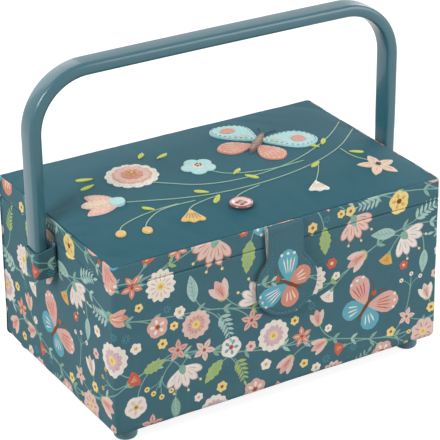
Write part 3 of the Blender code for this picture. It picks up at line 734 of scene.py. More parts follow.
def triangulate(window, marks, folds, points):
    """One triangulation of a window and all in it, with the numbers of the marks over each triangle."""
    spots, edges, faces = [], [], []

    def draw(outline):
        first = len(spots)
        spots.extend(Vector((p.real / MM, p.imag / MM)) for p in anticlockwise(outline))
        return list(range(first, len(spots)))

    faces = [draw(window)] + [draw(outline) for outline, _ in marks]
    for line in folds:
        ends = draw(line)
        edges += list(zip(ends, ends[1:]))
    draw(np.array(points, dtype=complex))
    made = delaunay_2d_cdt(spots, edges, faces, 0, 0.0005, True)
    places = np.array([complex(*p) for p in made[0]]) * MM
    inside = [(corners, over) for corners, over in zip(made[2], made[5]) if 0 in over]
    return places, np.array([corners for corners, _ in inside]), [over for _, over in inside]


def spilt(places, triangles, over, marks):
    """The marks whose colour has run out over more than the rectangle round them."""
    a, b, c = places[triangles].T
    sizes = np.abs(((b - a) * (c - a).conj()).imag) / 2
    covered = np.zeros(len(marks) + 1)
    for size, numbers in zip(sizes, over):
        covered[list(numbers)] += size
    room = [np.ptp(outline.real) * np.ptp(outline.imag) for outline, _ in marks]
    return [i for i, most in enumerate(room) if covered[i + 1] > 1.02 * most]


def cut_panel(window, marks, ground, folds=(), points=()):
    """The window's points, triangles and the colour of each triangle."""
    for attempt in range(5):
        places, triangles, over = triangulate(window, marks, folds, points)
        wrong = spilt(places, triangles, over, marks)
        if not wrong:
            break
        print("Nudged marks", wrong)
        marks = [(o + 0.02 * MM * spin(attempt) * (i in wrong), c) for i, (o, c) in enumerate(marks)]
    colours = [ground] + [colour for _, colour in marks]
    return places, triangles, np.array([colours[max(numbers)] for numbers in over])


def rectangle(low, high):
    """The four corners of a window."""
    return np.array([low, complex(high.real, low.imag), high, complex(low.real, high.imag)])

# %% Turn panels into a mesh
def mesh_piece(name, points, faces, material, flat=None, inks=None, uv=None):
    """An object from points and faces, with its flat places, the ink of each corner and a uv map."""
    mesh = bpy.data.meshes.new(name)
    mesh.from_pydata(points.tolist(), [], faces)
    if inks is not None:
        mesh.color_attributes.new("print", "FLOAT_COLOR", "CORNER").data.foreach_set("color", inks.ravel())
    if flat is not None:
        mesh.attributes.new("cloth_place", "FLOAT_VECTOR", "POINT").data.foreach_set("vector", flat.ravel())
    if uv is not None:
        mesh.uv_layers.new(name="panel").data.foreach_set("uv", uv.ravel())
    mesh.shade_smooth()
    mesh.materials.append(material)
    return add_object(name, mesh)


def facing(fold, x, y, reach):
    """Which way the folded cloth faces at each flat place."""
    along = fold(x + reach, y) - fold(x - reach, y)
    up = fold(x, y + reach) - fold(x, y - reach)
    normal = np.cross(along, up)
    return normal / (np.linalg.norm(normal, axis=1)[:, None] + 1e-30)


def sew(name, panels, body):
    """One printed piece from flat panels, each with its places, a folding function and its uv."""
    verts, faces, inks, normals, flat, uvs = [], [], [], [], [], []
    for (places, triangles, colours), fold, uv in panels:
        x, y = places.real, places.imag
        faces.append(triangles + sum(len(v) for v in verts))
        verts.append(fold(x, y))
        normals.append(facing(fold, x, y, 0.05 * MM))
        inks.append(colours)
        flat.append(np.stack([x, y, 0 * x], axis=1))
        uvs.append(uv(x, y, triangles))
    used, faces = np.unique(np.concatenate(faces), return_inverse=True)
    faces = faces.reshape(-1, 3).tolist()
    verts, normals, flat = (np.concatenate(parts)[used] for parts in (verts, normals, flat))
    inks = np.repeat(np.concatenate(inks), 3, axis=0)
    piece = mesh_piece(name, verts, faces, printed_cotton, flat, inks, np.concatenate(uvs))
    piece.data.normals_split_custom_set_from_vertices(normals.tolist())
    if body:
        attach(piece, body)
    print(name, "has", len(faces), "triangles")
    return piece


def plain_uv(low, high):
    """A uv map that fits a window into the unit square."""
    size = high - low

    def uv(x, y, triangles):
        points = np.stack([(x - low.real) / size.real, (y - low.imag) / size.imag], axis=1)
        return points[triangles].reshape(-1, 2)

    return uv

# %% [markdown]
# The case is wrapped in one long strip. Going round, the strip follows straight walls and
# rounded corners, so a place on it is a point of an inner rectangle plus a step outwards.
# Going up, it starts tucked under the base, rolls up the wall and turns in at the top. Where
# its two ends meet, by the back left corner, one end is folded over the other. The waves and
# puckers of real cloth over wadding are added along the outward direction.

# %% Wrap a strip round a box
def profile(*points, steps=6):
    """Levels of a strip: its inset and height at each length, from points and rolled corners.

    Each point is (inset, height, radius of the roll there)."""
    spots = [complex(*points[0][:2])]
    for before, here, after in zip(points, points[1:], points[2:]):
        corner, radius = complex(*here[:2]), here[2]
        if radius == 0:
            spots.append(corner)
            continue
        one = complex(*before[:2]) - corner
        two = complex(*after[:2]) - corner
        one, two = one / abs(one), two / abs(two)
        control = corner + radius * 0.16 * (one + two)
        spots += list(bend(corner + radius * one, control, corner + radius * two, steps))
    spots.append(complex(*points[-1][:2]))
    spots = np.array(spots)
    return lengths(spots), spots.real, spots.imag


def tour(half_x, half_y, radius):
    """Knots of a way round a rounded rectangle, from the back left corner past the front."""
    x, y = half_x - radius, half_y - radius
    arc = radius * math.pi / 2
    spans = [2 * y, arc, 2 * x, arc] * 2
    knots = np.concatenate([[0], np.cumsum(spans)])
    inner_x = np.array([-x, -x, -x, x, x, x, x, -x, -x])
    inner_y = np.array([y, -y, -y, -y, -y, y, y, y, y])
    turn = np.pi * np.array([1, 1, 1.5, 1.5, 2, 2, 2.5, 2.5, 3])
    return knots, inner_x, inner_y, turn


def wrapped(plan, levels, radius, waves=None, centre=(0, middle_y), cut=0, spare=0.0):
    """A folding function: x goes round the plan, y goes up the levels from the cut.

    A spare length starts before the first corner, and the other end laps over it."""
    knots, inner_x, inner_y, turn = plan
    length, inset, height = levels

    def fold(x, y):
        x, y = x - cut.real - spare, y - cut.imag
        lap = np.clip((x + spare - knots[-1]) / (2 * MM), 0, 1) * 0.45 * MM
        x = np.where(x < 0, x + knots[-1], x)
        angle = np.interp(x, knots, turn)
        out = radius - np.interp(y, length, inset)
        if waves is not None:
            out = out + waves(x, y)
        least = 0.3 * MM
        deeper = np.maximum(least - out, 0)
        out = np.maximum(out, least) + lap
        across = np.interp(x, knots, inner_x) * (1 - deeper / inner_x.max()) + out * np.cos(angle)
        along = np.interp(x, knots, inner_y) * (1 - deeper / inner_y.max()) + out * np.sin(angle)
        level = np.interp(y, length, height)
        return np.stack([across + centre[0], along + centre[1], level], axis=1)

    return fold


def fold_lines(plan, levels, offset=0):
    """The lines across a strip where its corners bend and its rolls turn."""
    knots, length = plan[0], levels[0]
    lines = []
    for first, last in zip(knots[1::2], knots[2::2]):
        for x in np.linspace(first, last, 7):
            lines.append(np.array([x + 1j * length[0], x + 1j * length[-1]]) + offset)
    for y in length[1:-1]:
        lines.append(np.array([knots[0] + 1j * y, knots[-1] + 1j * y]) + offset)
    return lines


def sum_of_waves(seed, count, longest, shortest, height):
    """Soft random waves over a cloth: a sum of sines in many directions."""
    rng = np.random.default_rng(seed)
    size = np.exp(rng.uniform(np.log(shortest), np.log(longest), count))
    turn, phase = rng.uniform(0, 2 * np.pi, (2, count))
    swing = height * size / size.sum() * 2

    def waves(x, y):
        total = 0 * x
        for s, t, p, w in zip(size, turn, phase, swing):
            total = total + w * np.sin(2 * np.pi / s * (x * np.cos(t) + y * np.sin(t)) + p)
        return total

    return waves


print("One way round is", round(way_round / MM, 1), "mm")

# %% Wrap the case
def strip(plan, levels, radius, waves, cut, spare=0.0, gap=3 * MM, **settings):
    """A printed strip wrapped round a plan, its cut taken from the cloth at a height."""
    knots, length = plan[0], levels[0]
    low, high = cut, cut + knots[-1] + spare + 1j * length[-1]
    rows = max(1, round(knots[-1] / repeat_width))
    folds = fold_lines(plan, levels, cut + spare)
    for row in range(1, rows + 1):
        edge = row * repeat_width * (rows > 1) + cut
        folds.append(np.array([edge, edge + 1j * length[-1]]))

    def uv(x, y, triangles):
        wide = (high.real - low.real + (rows - 1) * spare) / rows
        row = np.clip(np.floor((x[triangles].mean(axis=1) - low.real) / repeat_width), 0, rows - 1)
        across = (x[triangles] - low.real - row[:, None] * repeat_width) / wide
        up = (y[triangles] - cut.imag) / length[-1]
        return np.stack([across, (row[:, None] + 0.02 + 0.96 * up) / rows], axis=2).reshape(-1, 2)

    marks = shifted_marks(low, high)
    panel = cut_panel(rectangle(low, high), marks, ground_colour, folds, lattice(low, high, gap))
    return panel, wrapped(plan, levels, radius, waves, cut=cut, spare=spare, **settings), uv


case_plan = tour(half_width, half_depth, corner_radius)
case_levels = profile(
    (5.4 * MM, case_low.z, 0),
    (0, case_low.z, bottom_roll),
    (0, case_high.z, seam_roll),
    (2.6 * MM, case_high.z, 0.3 * MM),
    (2.6 * MM, case_high.z - 1.5 * MM, 0),
)
broad_waves = sum_of_waves(3, 9, 90 * MM, 30 * MM, 0.35 * MM)
seam_puckers = sum_of_waves(5, 8, 14 * MM, 6 * MM, 0.22 * MM)
hem_puckers = sum_of_waves(7, 8, 26 * MM, 9 * MM, 0.35 * MM)
case_span = case_levels[0][-1]
lap_width = 7 * MM


def case_waves(x, y):
    """How far the cloth of the case stands off its wall."""
    from_top = case_span - 4 * MM - y
    by_seam = np.exp(-((from_top / (6 * MM)) ** 2)) * seam_puckers(x, 0.3 * y)
    by_hem = np.exp(-(((y - 9 * MM) / (9 * MM)) ** 2)) * hem_puckers(x, 0.3 * y)
    return broad_waves(x, y) + by_seam + by_hem


def hem_panel(inset, width, cut):
    """The part of the strip that is turned flat under the base, as a frame."""
    outer = complex(half_width - inset, half_depth - inset)
    inner = outer - width * (1 + 1j)
    low, high = cut - outer, cut + outer
    edge = np.append(rectangle(cut - inner, cut + inner), cut - inner)
    marks, net_points = shifted_marks(low, high), lattice(low, high, 8 * MM)
    panel = cut_panel(rectangle(low, high), marks, ground_colour, [edge], net_points)
    places, triangles, inks = panel
    middle = places[triangles].mean(axis=1) - cut
    keep = (abs(middle.real) > inner.real) | (abs(middle.imag) > inner.imag)

    def fold(x, y):
        x, y = x - cut.real, y - cut.imag
        return np.stack([x, middle_y - y, 0 * x + case_low.z + 0.12 * MM], axis=1)

    return (places, triangles[keep], inks[keep]), fold, plain_uv(low, high)


def splayed(panel, fold, uv):
    """The same panel on a case whose right side stands out a little at its foot."""

    def wider(x, y):
        points = fold(x, y)
        share = (points[:, 0] / half_width).clip(0, 1)
        points[:, 0] += 2.3 * MM * share * (1 - points[:, 2] / case_high.z)
        return points

    return panel, wider, uv


wall = strip(case_plan, case_levels, corner_radius, case_waves, 42j * MM, lap_width)
hem = hem_panel(4.6 * MM, 21 * MM, 0.14 + 95j * MM)
panels = [splayed(*wall), splayed(*hem)]
body_cloth = sew("body_cloth", panels, "case")
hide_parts("body_cover")
boards = ("front_board", "back_board", "left_board", "right_board")

# %% [markdown]
# The lid's rim is a second strip of the same cloth, cut from another height of the repeat,
# so the two prints don't run on into each other. It turns in at the bottom over the rails,
# and at the top it folds over a narrow edge and down into the seam of the padded top.

# %% Wrap the lid's rim
rim_levels = profile(
    (3.6 * MM, rim_low.z, 0),
    (0, rim_low.z, seam_roll),
    (0, lid_edge, 0.7 * MM),
    (1.15 * MM, lid_edge, 0.35 * MM),
    (1.15 * MM, lid_edge - 1.4 * MM, 0),
)
rim_ripples = sum_of_waves(13, 10, 60 * MM, 9 * MM, 0.4 * MM)
rim_strip = strip(case_plan, rim_levels, corner_radius, rim_ripples, 152j * MM, lap_width, 2.5 * MM)
rim_cloth = sew("rim_cloth", [rim_strip], "lid")
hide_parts("lid_rim_cover")
rails = ("lid_front_rail", "lid_back_rail", "lid_left_rail", "lid_right_rail")

# %% [markdown]
# The clasp tab is two layers of the print, sewn together, turned and stitched round its
# edge. A flat outline gives both layers. How far a point lies from the outline tells how
# thick the tab is there: it rounds over at the edge, dips at the stitching and swells in
# the middle of the bulb.

# %% Outline of the clasp tab
neck_half = 14 * MM
bulb_radius = (tab_high.x - tab_low.x) / 2
tab_length = tab_high.z - tab_low.z
neck_fillet = 8 * MM


def tab_outline(inset=0.0, points=40):
    """The tab's outline, hanging down from 0, as a neck that swells into a round bulb."""
    radius, half, fillet = bulb_radius - inset, neck_half - inset, neck_fillet + inset
    centre = bulb_radius - tab_length
    side = half + fillet
    drop = math.sqrt((radius + fillet) ** 2 - side**2)
    meet = math.atan2(drop, side)
    hollow = side + 1j * (centre + drop) + fillet * spin(np.linspace(math.pi, math.pi + meet, 9))
    bulb = 1j * centre + radius * spin(np.linspace(meet, -math.pi / 2, points))
    neck = half + 1j * np.linspace(-inset, centre + drop, 8)
    right = np.concatenate([neck[:-1], hollow, bulb[1:]])
    return np.concatenate([right, -right.conj()[-2::-1]])


def from_outline(x, y, outline):
    """Each point's distance from a closed outline, and how far round it the nearest place is."""
    ends = np.roll(outline, -1)
    step = ends - outline
    passed = lengths(np.append(outline, outline[0]))
    spots = (x + 1j * y)[:, None]
    share = ((spots - outline) * step.conj()).real / np.abs(step) ** 2
    share = share.clip(0, 1)
    away = np.abs(spots - outline - share * step)
    nearest = away.argmin(axis=1)
    row = np.arange(len(x))
    return away[row, nearest], passed[nearest] + share[row, nearest] * np.abs(step)[nearest]


tab_edge = tab_outline()
print("The tab is", round(tab_length / MM), "mm long")

# %% Sew the clasp tab
stitch_inset = 3.0 * MM
tab_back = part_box("clasp_back_cover")[1].y
tab_middle = (tab_low.y + tab_back) / 2
tab_half = (tab_back - tab_low.y) / 2
edge_half = 0.3 * MM
tab_lining = paint(246, 244, 240)

def tab_layer(side, cut):
    """One layer of the tab: side -1 is its printed front and 1 its pale back."""
    low, high = cut - bulb_radius - 1j * tab_length, cut + bulb_radius
    insets = (0.25 * MM, 0.7 * MM, 1.3 * MM, 2.5 * MM, stitch_inset, 3.5 * MM)
    rings = [np.append(ring, ring[0]) + cut for ring in map(tab_outline, insets)]
    marks, ground = (shifted_marks(low, high), ground_colour) if side < 0 else ([], tab_lining)
    panel = cut_panel(tab_edge + cut, marks, ground, rings, lattice(low, high, 1.6 * MM))

    def fold(x, y):
        x, y = x - cut.real, y - cut.imag
        away, passed = from_outline(x, y, tab_edge)
        share = (away / (1.4 * MM)).clip(0, 1)
        rise = np.sqrt(share * (2 - share))
        half = edge_half + (tab_half - edge_half - 0.5 * MM) * rise
        half = half + 0.6 * MM * (1 - np.exp(-((away / (7 * MM)) ** 2)))
        half = half - 0.4 * MM * np.exp(-(((away - stitch_inset) / (0.6 * MM)) ** 2))
        ripple = np.sin(passed / (0.8 * MM)) + 0.7 * np.sin(passed / (1.7 * MM) + 1)
        half = half + 0.09 * MM * ripple * np.exp(-(((away - 2.2 * MM) / (1.8 * MM)) ** 2))
        drop = (-y / tab_length).clip(0, 1)
        lean = -0.5 * MM * np.sin(np.pi * drop) + 0.25 * MM * np.sin(9 * drop + x / (9 * MM))
        tuck = 1.2 * MM * np.exp(-((y / (1.6 * MM)) ** 2))
        swing = 2.4 * MM * drop**1.3 - (side > 0) * 1.9 * MM * np.exp(-((drop / 0.4) ** 4))
        return np.stack([swing - side * x, tab_middle + side * half + lean + tuck, y + tab_high.z], axis=1)

    return panel, fold, plain_uv(low - (side > 0) * 1j * tab_length, high + (side < 0) * 1j * tab_length)


tab_cut = 0.0165 + 0.224j
tab_front = tab_layer(-1, tab_cut)
tab_rear = tab_layer(1, 0.1 + 0.168j)
clasp_tab = sew("clasp_tab", [tab_front, tab_rear], None)
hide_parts("clasp_front_cover", "clasp_back_cover", "clasp_board")
tab_flat, tab_area = (4 * bulb_radius, tab_length), 2 * abs(area_of(tab_edge))

# %% [markdown]
# The lid's top is plain cotton over foam. Its cloth is a net of small squares whose edge is
# held in the seam, and Blender's cloth simulation blows it up gently. The net is a little
# larger than the hole it covers, so it settles with the slight fullness of upholstery.

# %% Shape the lid's top
def rounded_place(x, y, half_x, half_y, radius):
    """Move a square net's corner onto a rounded corner."""
    a = ((np.abs(x) - (half_x - radius)) / radius).clip(0, 1)
    b = ((np.abs(y) - (half_y - radius)) / radius).clip(0, 1)
    both = (a > 0) & (b > 0)
    near_x = half_x - radius + radius * a * np.sqrt(1 - b * b / 2)
    near_y = half_y - radius + radius * b * np.sqrt(1 - a * a / 2)
    return np.where(both, np.sign(x) * near_x, x), np.where(both, np.sign(y) * near_y, y)


def squares(number):
    """The faces between the rows and columns of a grid of points, from the points' numbers."""
    corners = [number[:-1, :-1], number[:-1, 1:], number[1:, 1:], number[1:, :-1]]
    return np.stack(corners, axis=2).reshape(-1, 4)


def net(half_x, half_y, radius, cell):
    """Places and square faces of a net over a rounded rectangle."""
    lines = []
    for half in (half_x, half_y):
        inner = half - radius
        middle = np.linspace(-inner, inner, round(2 * inner / cell) + 1)
        side = np.linspace(inner, half, 4)[1:]
        lines.append(np.concatenate([-side[::-1], middle, side]))
    x, y = np.meshgrid(*lines)
    number = np.arange(x.size).reshape(x.shape)
    x, y = rounded_place(x, y, half_x, half_y, radius)
    rim = np.concatenate([number[0], number[-1], number[1:-1, 0], number[1:-1, -1]])
    return x.ravel(), y.ravel(), squares(number), rim


def flat_piece(name, x, y, z, quads, material):
    """A mesh of squares that knows its flat places and carries a uv map."""
    flat = np.stack([x, y, 0 * x], axis=1)
    uv = np.stack([(x - x.min()) / np.ptp(x), (y - y.min()) / np.ptp(y)], axis=1)[quads]
    return mesh_piece(name, np.stack([x, y, z], axis=1), quads.tolist(), material, flat, None, uv)


def blow_up(piece, rim, pressure, slack, cap, frames=20):
    """Run the cloth simulation on a net that is held along its rim, then keep the result."""
    start = np.array([v.co[:] for v in piece.data.vertices])
    held = piece.vertex_groups.new(name="held")
    held.add([int(i) for i in rim], 1.0, "REPLACE")
    cloth = piece.modifiers.new("fullness", "CLOTH")
    values = {"quality": 6, "mass": 0.2, "tension_stiffness": 20, "compression_stiffness": 20}
    values |= {"bending_stiffness": 0.6, "vertex_group_mass": "held", "shrink_min": -slack}
    values |= {"use_pressure": True, "uniform_pressure_force": pressure}
    for label, value in values.items():
        setattr(cloth.settings, label, value)
    cloth.settings.effector_weights.gravity = 0
    cloth.point_cache.frame_start = 1
    cloth.point_cache.frame_end = frames
    for frame_number in range(1, frames + 1):
        bpy.context.scene.frame_set(frame_number)
    settled = piece.evaluated_get(bpy.context.evaluated_depsgraph_get()).to_mesh()
    after = np.array([v.co[:] for v in settled.vertices])
    piece.modifiers.remove(cloth)
    bpy.context.scene.frame_set(1)
    moved_by = after - start
    far = np.linalg.norm(moved_by, axis=1)
    moved_by *= np.minimum(1, cap / np.maximum(far, 1e-9))[:, None]
    piece.data.vertices.foreach_set("co", (start + moved_by).ravel())
    print(piece.name, "moved by up to", round(min(cap, far.max()) / MM, 2), "mm")


def crown(x, y):
    """The lid's rise above its crease: a quick rise at the edge and a slow one to the middle."""
    u, v = np.abs(x) / half_width, np.abs(y) / half_depth
    return 2.0 * MM * (1 - u**10) * (1 - v**10) + 3.2 * MM * (1 - u * u) * (1 - v * v)

# %% Blow up the lid's top
top_inset = 1.65 * MM
x, y, quads, rim = net(half_width - top_inset, half_depth - top_inset, corner_radius - top_inset, 3.6 * MM)
lid_top = flat_piece("lid_top", x, y + middle_y, lid_edge + crown(x, y), quads, lid_cotton)
blow_up(lid_top, rim, 3.0, 0.004, 2.2 * MM)
crease = bmesh.new()
crease.from_mesh(lid_top.data)
limits = (half_width - corner_radius, half_depth - corner_radius)
for out, down in ((0.15, 0.1), (0.2, 0.6), (0.2, 1.3)):
    border = [e for e in crease.edges if e.is_boundary]
    grown = bmesh.ops.extrude_edge_only(crease, edges=border)["geom"]
    for corner in (g for g in grown if isinstance(g, bmesh.types.BMVert)):
        away = Vector((corner.co.x, corner.co.y - middle_y, 0))
        inner = Vector([max(-1, min(1, part / most)) * most for part, most in zip(away, limits)] + [0])
        step = (away - inner).normalized()
        spot = inner + step * (corner_radius - top_inset + out * MM)
        corner.co = Vector((spot.x, spot.y + middle_y, lid_edge - down * MM))
crease.to_mesh(lid_top.data)
crease.free()
finer = lid_top.modifiers.new("finer", "SUBSURF")
finer.levels = 1
finer.render_levels = 1
bpy.context.view_layer.objects.active = lid_top
with bpy.context.temp_override(object=lid_top, active_object=lid_top):
    bpy.ops.object.modifier_apply(modifier="finer")
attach(lid_top, "lid")
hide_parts("lid_cover")
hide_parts("lid_pad")

# %% [markdown]
# Felt shapes are sewn on the lid, and the stems between them are embroidered. A felt patch
# is a flat outline with a thickness that rounds over at its edge, laid on the lid by looking
# straight down on it. Thread is always a thin tube, whether it makes a running stitch, the
# strokes of a blanket stitch, the satin stitch of a leaf or the twisted line of a stem.

# %% Felt and thread materials
def lit_by_print(name, scale, stretch, depth, rough, sheen, vary):
    """A matt fibrous material in the print's colours, with fibres in two directions."""
    values = {"Roughness": rough, "Sheen Weight": sheen, "Sheen Roughness": 0.6, "Specular IOR Level": 0.2}
    made, tree, shader = new_material(name, values)
    place = attribute(tree, "cloth_place", "Vector")
    one = noise(tree, scaled(tree, place, (stretch, 1, 1)), scale, 4.0)
    two = noise(tree, scaled(tree, place, (1, stretch, 1)), scale * 0.8, 4.0)
    fibres = maths(tree, "SUBTRACT", maths(tree, "ADD", one, two), 1.0)
    tint = maths(tree, "ADD", maths(tree, "MULTIPLY", fibres, vary), 1.0)
    tinted(tree, shader, attribute(tree, "print", "Color"), tint)
    bumped(tree, shader, fibres, depth, 0.8)
    return made


felt_look = lit_by_print("wool_felt", 900.0, 0.3, 0.5 * MM, 0.95, 0.3, 0.35)
thread_look = lit_by_print("cotton_thread", 1500.0, 0.12, 0.15 * MM, 0.6, 0.35, 0.3)
thread_width = 0.62 * MM
FELT = {
    "aqua": paint(168, 214, 214),
    "salmon": paint(212, 140, 118),
    "cream": paint(233, 216, 196),
    "blush": paint(226, 184, 170),
    "beige": paint(224, 196, 170),
    "mustard": paint(222, 184, 106),
    "white": paint(228, 224, 214),
    "lime": paint(196, 204, 78),
    "sage": paint(160, 190, 160),
    "brown": paint(122, 92, 78),
    "dark": paint(44, 50, 56),
}
print(len(FELT), "felt and thread colours")

# %% Cut felt and lay thread
lid_tree = BVHTree.FromObject(lid_top, bpy.context.evaluated_depsgraph_get())
lid_middle = 1j * middle_y


def lid_level(places):
    """The lid's height under each place, which counts from the middle of the lid."""
    levels = []
    for spot in np.atleast_1d(places) + lid_middle:
        hit = lid_tree.ray_cast(Vector((spot.real, spot.imag, 0.2)), Vector((0, 0, -1)))[0]
        levels.append(hit.z if hit else lid_edge)
    return np.array(levels)


def evenly(outline, step):
    """A closed outline walked again in equal steps."""
    ring = np.append(outline, outline[0])
    whole = lengths(ring)[-1]
    return walk(ring, np.linspace(0, whole, max(8, round(whole / step)) + 1)[:-1])


def inward(outline, inset):
    """A closed anticlockwise outline moved in by a small inset."""
    along = np.roll(outline, -1) - np.roll(outline, 1)
    return outline + 1j * along / np.abs(along) * inset


felt_parts, felt_areas, thread_parts = [], [], []


def felt(outline, colour, base=0.0, thick=0.9 * MM, seed=0):
    """Cut one felt patch: its points, triangles and colour join the pile."""
    edge = anticlockwise(evenly(outline, 0.9 * MM))
    felt_areas.append(area_of(edge))
    rings = [inward(edge, inset) for inset in (0.2 * MM, 0.55 * MM)]
    low = edge.real.min() + 1j * edge.imag.min()
    high = edge.real.max() + 1j * edge.imag.max()
    inside = lattice(low, high, 1.8 * MM)
    places, triangles, _ = cut_panel(edge, [], FELT[colour], [np.append(r, r[0]) for r in rings], inside)
    away, _ = from_outline(places.real, places.imag, edge)
    share = (away / (0.6 * MM)).clip(0, 1)
    rise = base + thick * (0.45 + 0.55 * np.sqrt(share * (2 - share)))
    rise = rise + 0.10 * MM * np.sin(places.real / MM * 1.9 + seed) * np.sin(places.imag / MM * 1.7)
    level = lid_level(places)
    corners = np.concatenate([triangles[:, [0, 1]], triangles[:, [1, 2]], triangles[:, [2, 0]]])
    one_way = {(int(a), int(b)) for a, b in corners}
    rim = [(a, b) for a, b in one_way if (b, a) not in one_way]
    extra = sorted({a for a, b in rim} | {b for a, b in rim})
    skirt = {corner: len(places) + number for number, corner in enumerate(extra)}
    spots = np.concatenate([places, places[extra]])
    heights = np.concatenate([level + rise, level[extra] - 0.3 * MM])
    faces = triangles.tolist()
    for a, b in rim:
        faces += [[b, a, skirt[a]], [b, skirt[a], skirt[b]]]
    felt_parts.append((spots, heights, faces, FELT[colour]))


def thread(line, rise, width, colour, sides=6, base=0.0):
    """One thread along a line of places, risen in millimetres over a base on the lid."""
    thread_parts.append((line, base + MM * np.array(rise), width, FELT[colour], sides, 0.75))


def running_stitch(outline, inset, colour, base, length=2.4 * MM, pause=1.5 * MM, width=0.5 * MM):
    """Short stitches just inside an outline."""
    edge = inward(anticlockwise(evenly(outline, 0.5 * MM)), inset)
    ring = np.append(edge, edge[0])
    whole = lengths(ring)[-1]
    count = max(3, round(whole / (length + pause)))
    for number in range(count):
        at = whole * (number + np.linspace(0, length / (length + pause), 5)) / count
        thread(walk(ring, at), (-0.216, 0.108, 0.18, 0.108, -0.216), width, colour, base=base)


def blanket_stitch(outline, reach, colour, base, gap=2.1 * MM, width=0.38 * MM):
    """Strokes across the edge of a patch, and the loop that joins them along the edge."""
    edge = anticlockwise(evenly(outline, gap))
    inner, outer = inward(edge, reach), inward(edge, -0.35 * MM)
    for one, two in zip(inner, outer):
        line = one + (two - one) * np.linspace(0, 1, 5)
        thread(line, (-0.15, 0.15, 0.12, -0.1, -0.7), width, colour, base=base)


def satin_leaf(place, turn, length, wide, colour="lime", base=0.0):
    """A leaf of close slanting stitches on both sides of its middle."""
    way, lean = spin(turn), spin(0.7)
    for side in (1, -1):
        for share in np.linspace(0.06, 0.94, max(6, round(length / (0.62 * MM)))):
            half = wide / 2 * math.sin(math.pi * share**0.85) ** 0.8
            tip = (lean if side > 0 else lean.conjugate()) * half * 1.15
            line = place + way * (share * length + tip * np.linspace(0, 1, 5) - side * 0.1j * MM)
            thread(line, (0.15, 0.55, 0.62, 0.5, -0.1), 0.85 * MM, colour, 5, base)


def stem(line, colour="sage", width=thread_width, stitch=4.2 * MM):
    """Stem stitch: each stitch starts beside the middle of the one before."""
    whole = lengths(line)[-1]
    count = max(2, round(whole / (stitch * 0.5)))
    for number in range(count - 1):
        path = walk(line, whole * (number + np.linspace(0, 2, 7)) / count)
        across = 1j * (path[-1] - path[0]) / abs(path[-1] - path[0])
        path = path + across * width * 0.32 * np.linspace(-1, 1, 7)
        thread(path, (-0.1, 0.18, 0.3, 0.34, 0.3, 0.18, -0.1), width, colour, 5)


def knot(place, size, colour, base=0.0):
    """A French knot: two turns of thread in a small heap."""
    coil = size * np.linspace(1, 0.35, 19) * spin(np.linspace(0, 4 * math.pi, 19))
    thread(place + coil, size / MM * np.linspace(0.5, 1.5, 19), size * 1.1, colour, base=base)


def long_stitch(place, way, first, last, rise, width, colour):
    """A long stitch out from a place, with its heights in millimetres."""
    thread(place + way * np.linspace(first, last, len(rise)), rise, width, colour, 5)

# %% Flowers of felt
def dahlia(place, size):
    """A full felt flower: a scalloped disc, a ring of petals and a knotted middle."""
    outer = place + scallop(size, 14, 0.09, 8)
    felt(outer, "white", 0, 0.8 * MM)
    running_stitch(outer, 1.6 * MM, "mustard", 0.85 * MM, 1.6 * MM, 1.5 * MM, 0.4 * MM)
    second = place + scallop(size * 0.74, 11, 0.10, 8) * np.exp(0.2j)
    felt(second, "blush", 0.7 * MM, 0.8 * MM, 1)
    blanket_stitch(second, 1.6 * MM, "salmon", 1.5 * MM, 1.9 * MM)
    third = place + scallop(size * 0.42, 8, 0.12, 8)
    felt(third, "salmon", 1.4 * MM, 0.7 * MM, 2)
    for number in range(16):
        way = np.exp(2j * math.pi * number / 16)
        reach = (0.46 if number % 2 else 0.5) * size
        long_stitch(place, way, reach, reach + 0.17 * size, (1.4, 1.7, 1.75, 1.7, 1.4), 0.45 * MM, "white")
    knot(place, 1.1 * MM, "mustard", 1.9 * MM)
    for number in range(7):
        knot(place + 0.2 * size * np.exp(2j * math.pi * number / 7), 0.75 * MM, "mustard", 1.9 * MM)


def five_petals(place, size, turn, colour, middle, stitches):
    """A flat felt flower of five petals, edged with blanket stitch."""
    shape = place + spin(turn) * scallop(size, 5, 0.26, 16)
    felt(shape, colour, 0, 0.9 * MM, 3)
    blanket_stitch(shape, 1.5 * MM, stitches, 0.9 * MM, 2.0 * MM)
    felt(place + disc(size * 0.3, 22), middle, 0.8 * MM, 0.7 * MM, 4)
    for number in range(5):
        knot(place + 0.16 * size * np.exp(2j * math.pi * (number + 0.2) / 5), 0.6 * MM, "brown", 1.4 * MM)
        way = spin(turn + 2 * math.pi * number / 5)
        rise = (0.7, 1.0, 1.02, 1.0, 0.7)
        long_stitch(place, way, 0.38 * size, 0.7 * size, rise, 0.45 * MM, stitches)


def felt_tulip(place, turn, size):
    """A felt tulip of three petals on a small aqua cup."""
    way = spin(turn)
    for angle, colour, base in ((0.5, "blush", 0), (-0.5, "blush", 0), (0, "beige", 0.7 * MM)):
        shape = place + way * spin(angle) * petal(size, size * 0.44, 1.25, 0.7, 18)
        felt(shape, colour, base, 0.8 * MM, angle)
        running_stitch(shape, 1.3 * MM, "salmon", base + 0.85 * MM, 1.7 * MM, 1.4 * MM, 0.4 * MM)
    cup = place + way * (petal(size * 0.42, size * 0.4, 0.8, 0.5, 14) - size * 0.1)
    felt(cup, "aqua", 1.3 * MM, 0.8 * MM, 5)
    blanket_stitch(cup, 1.2 * MM, "white", 2.1 * MM, 1.8 * MM)


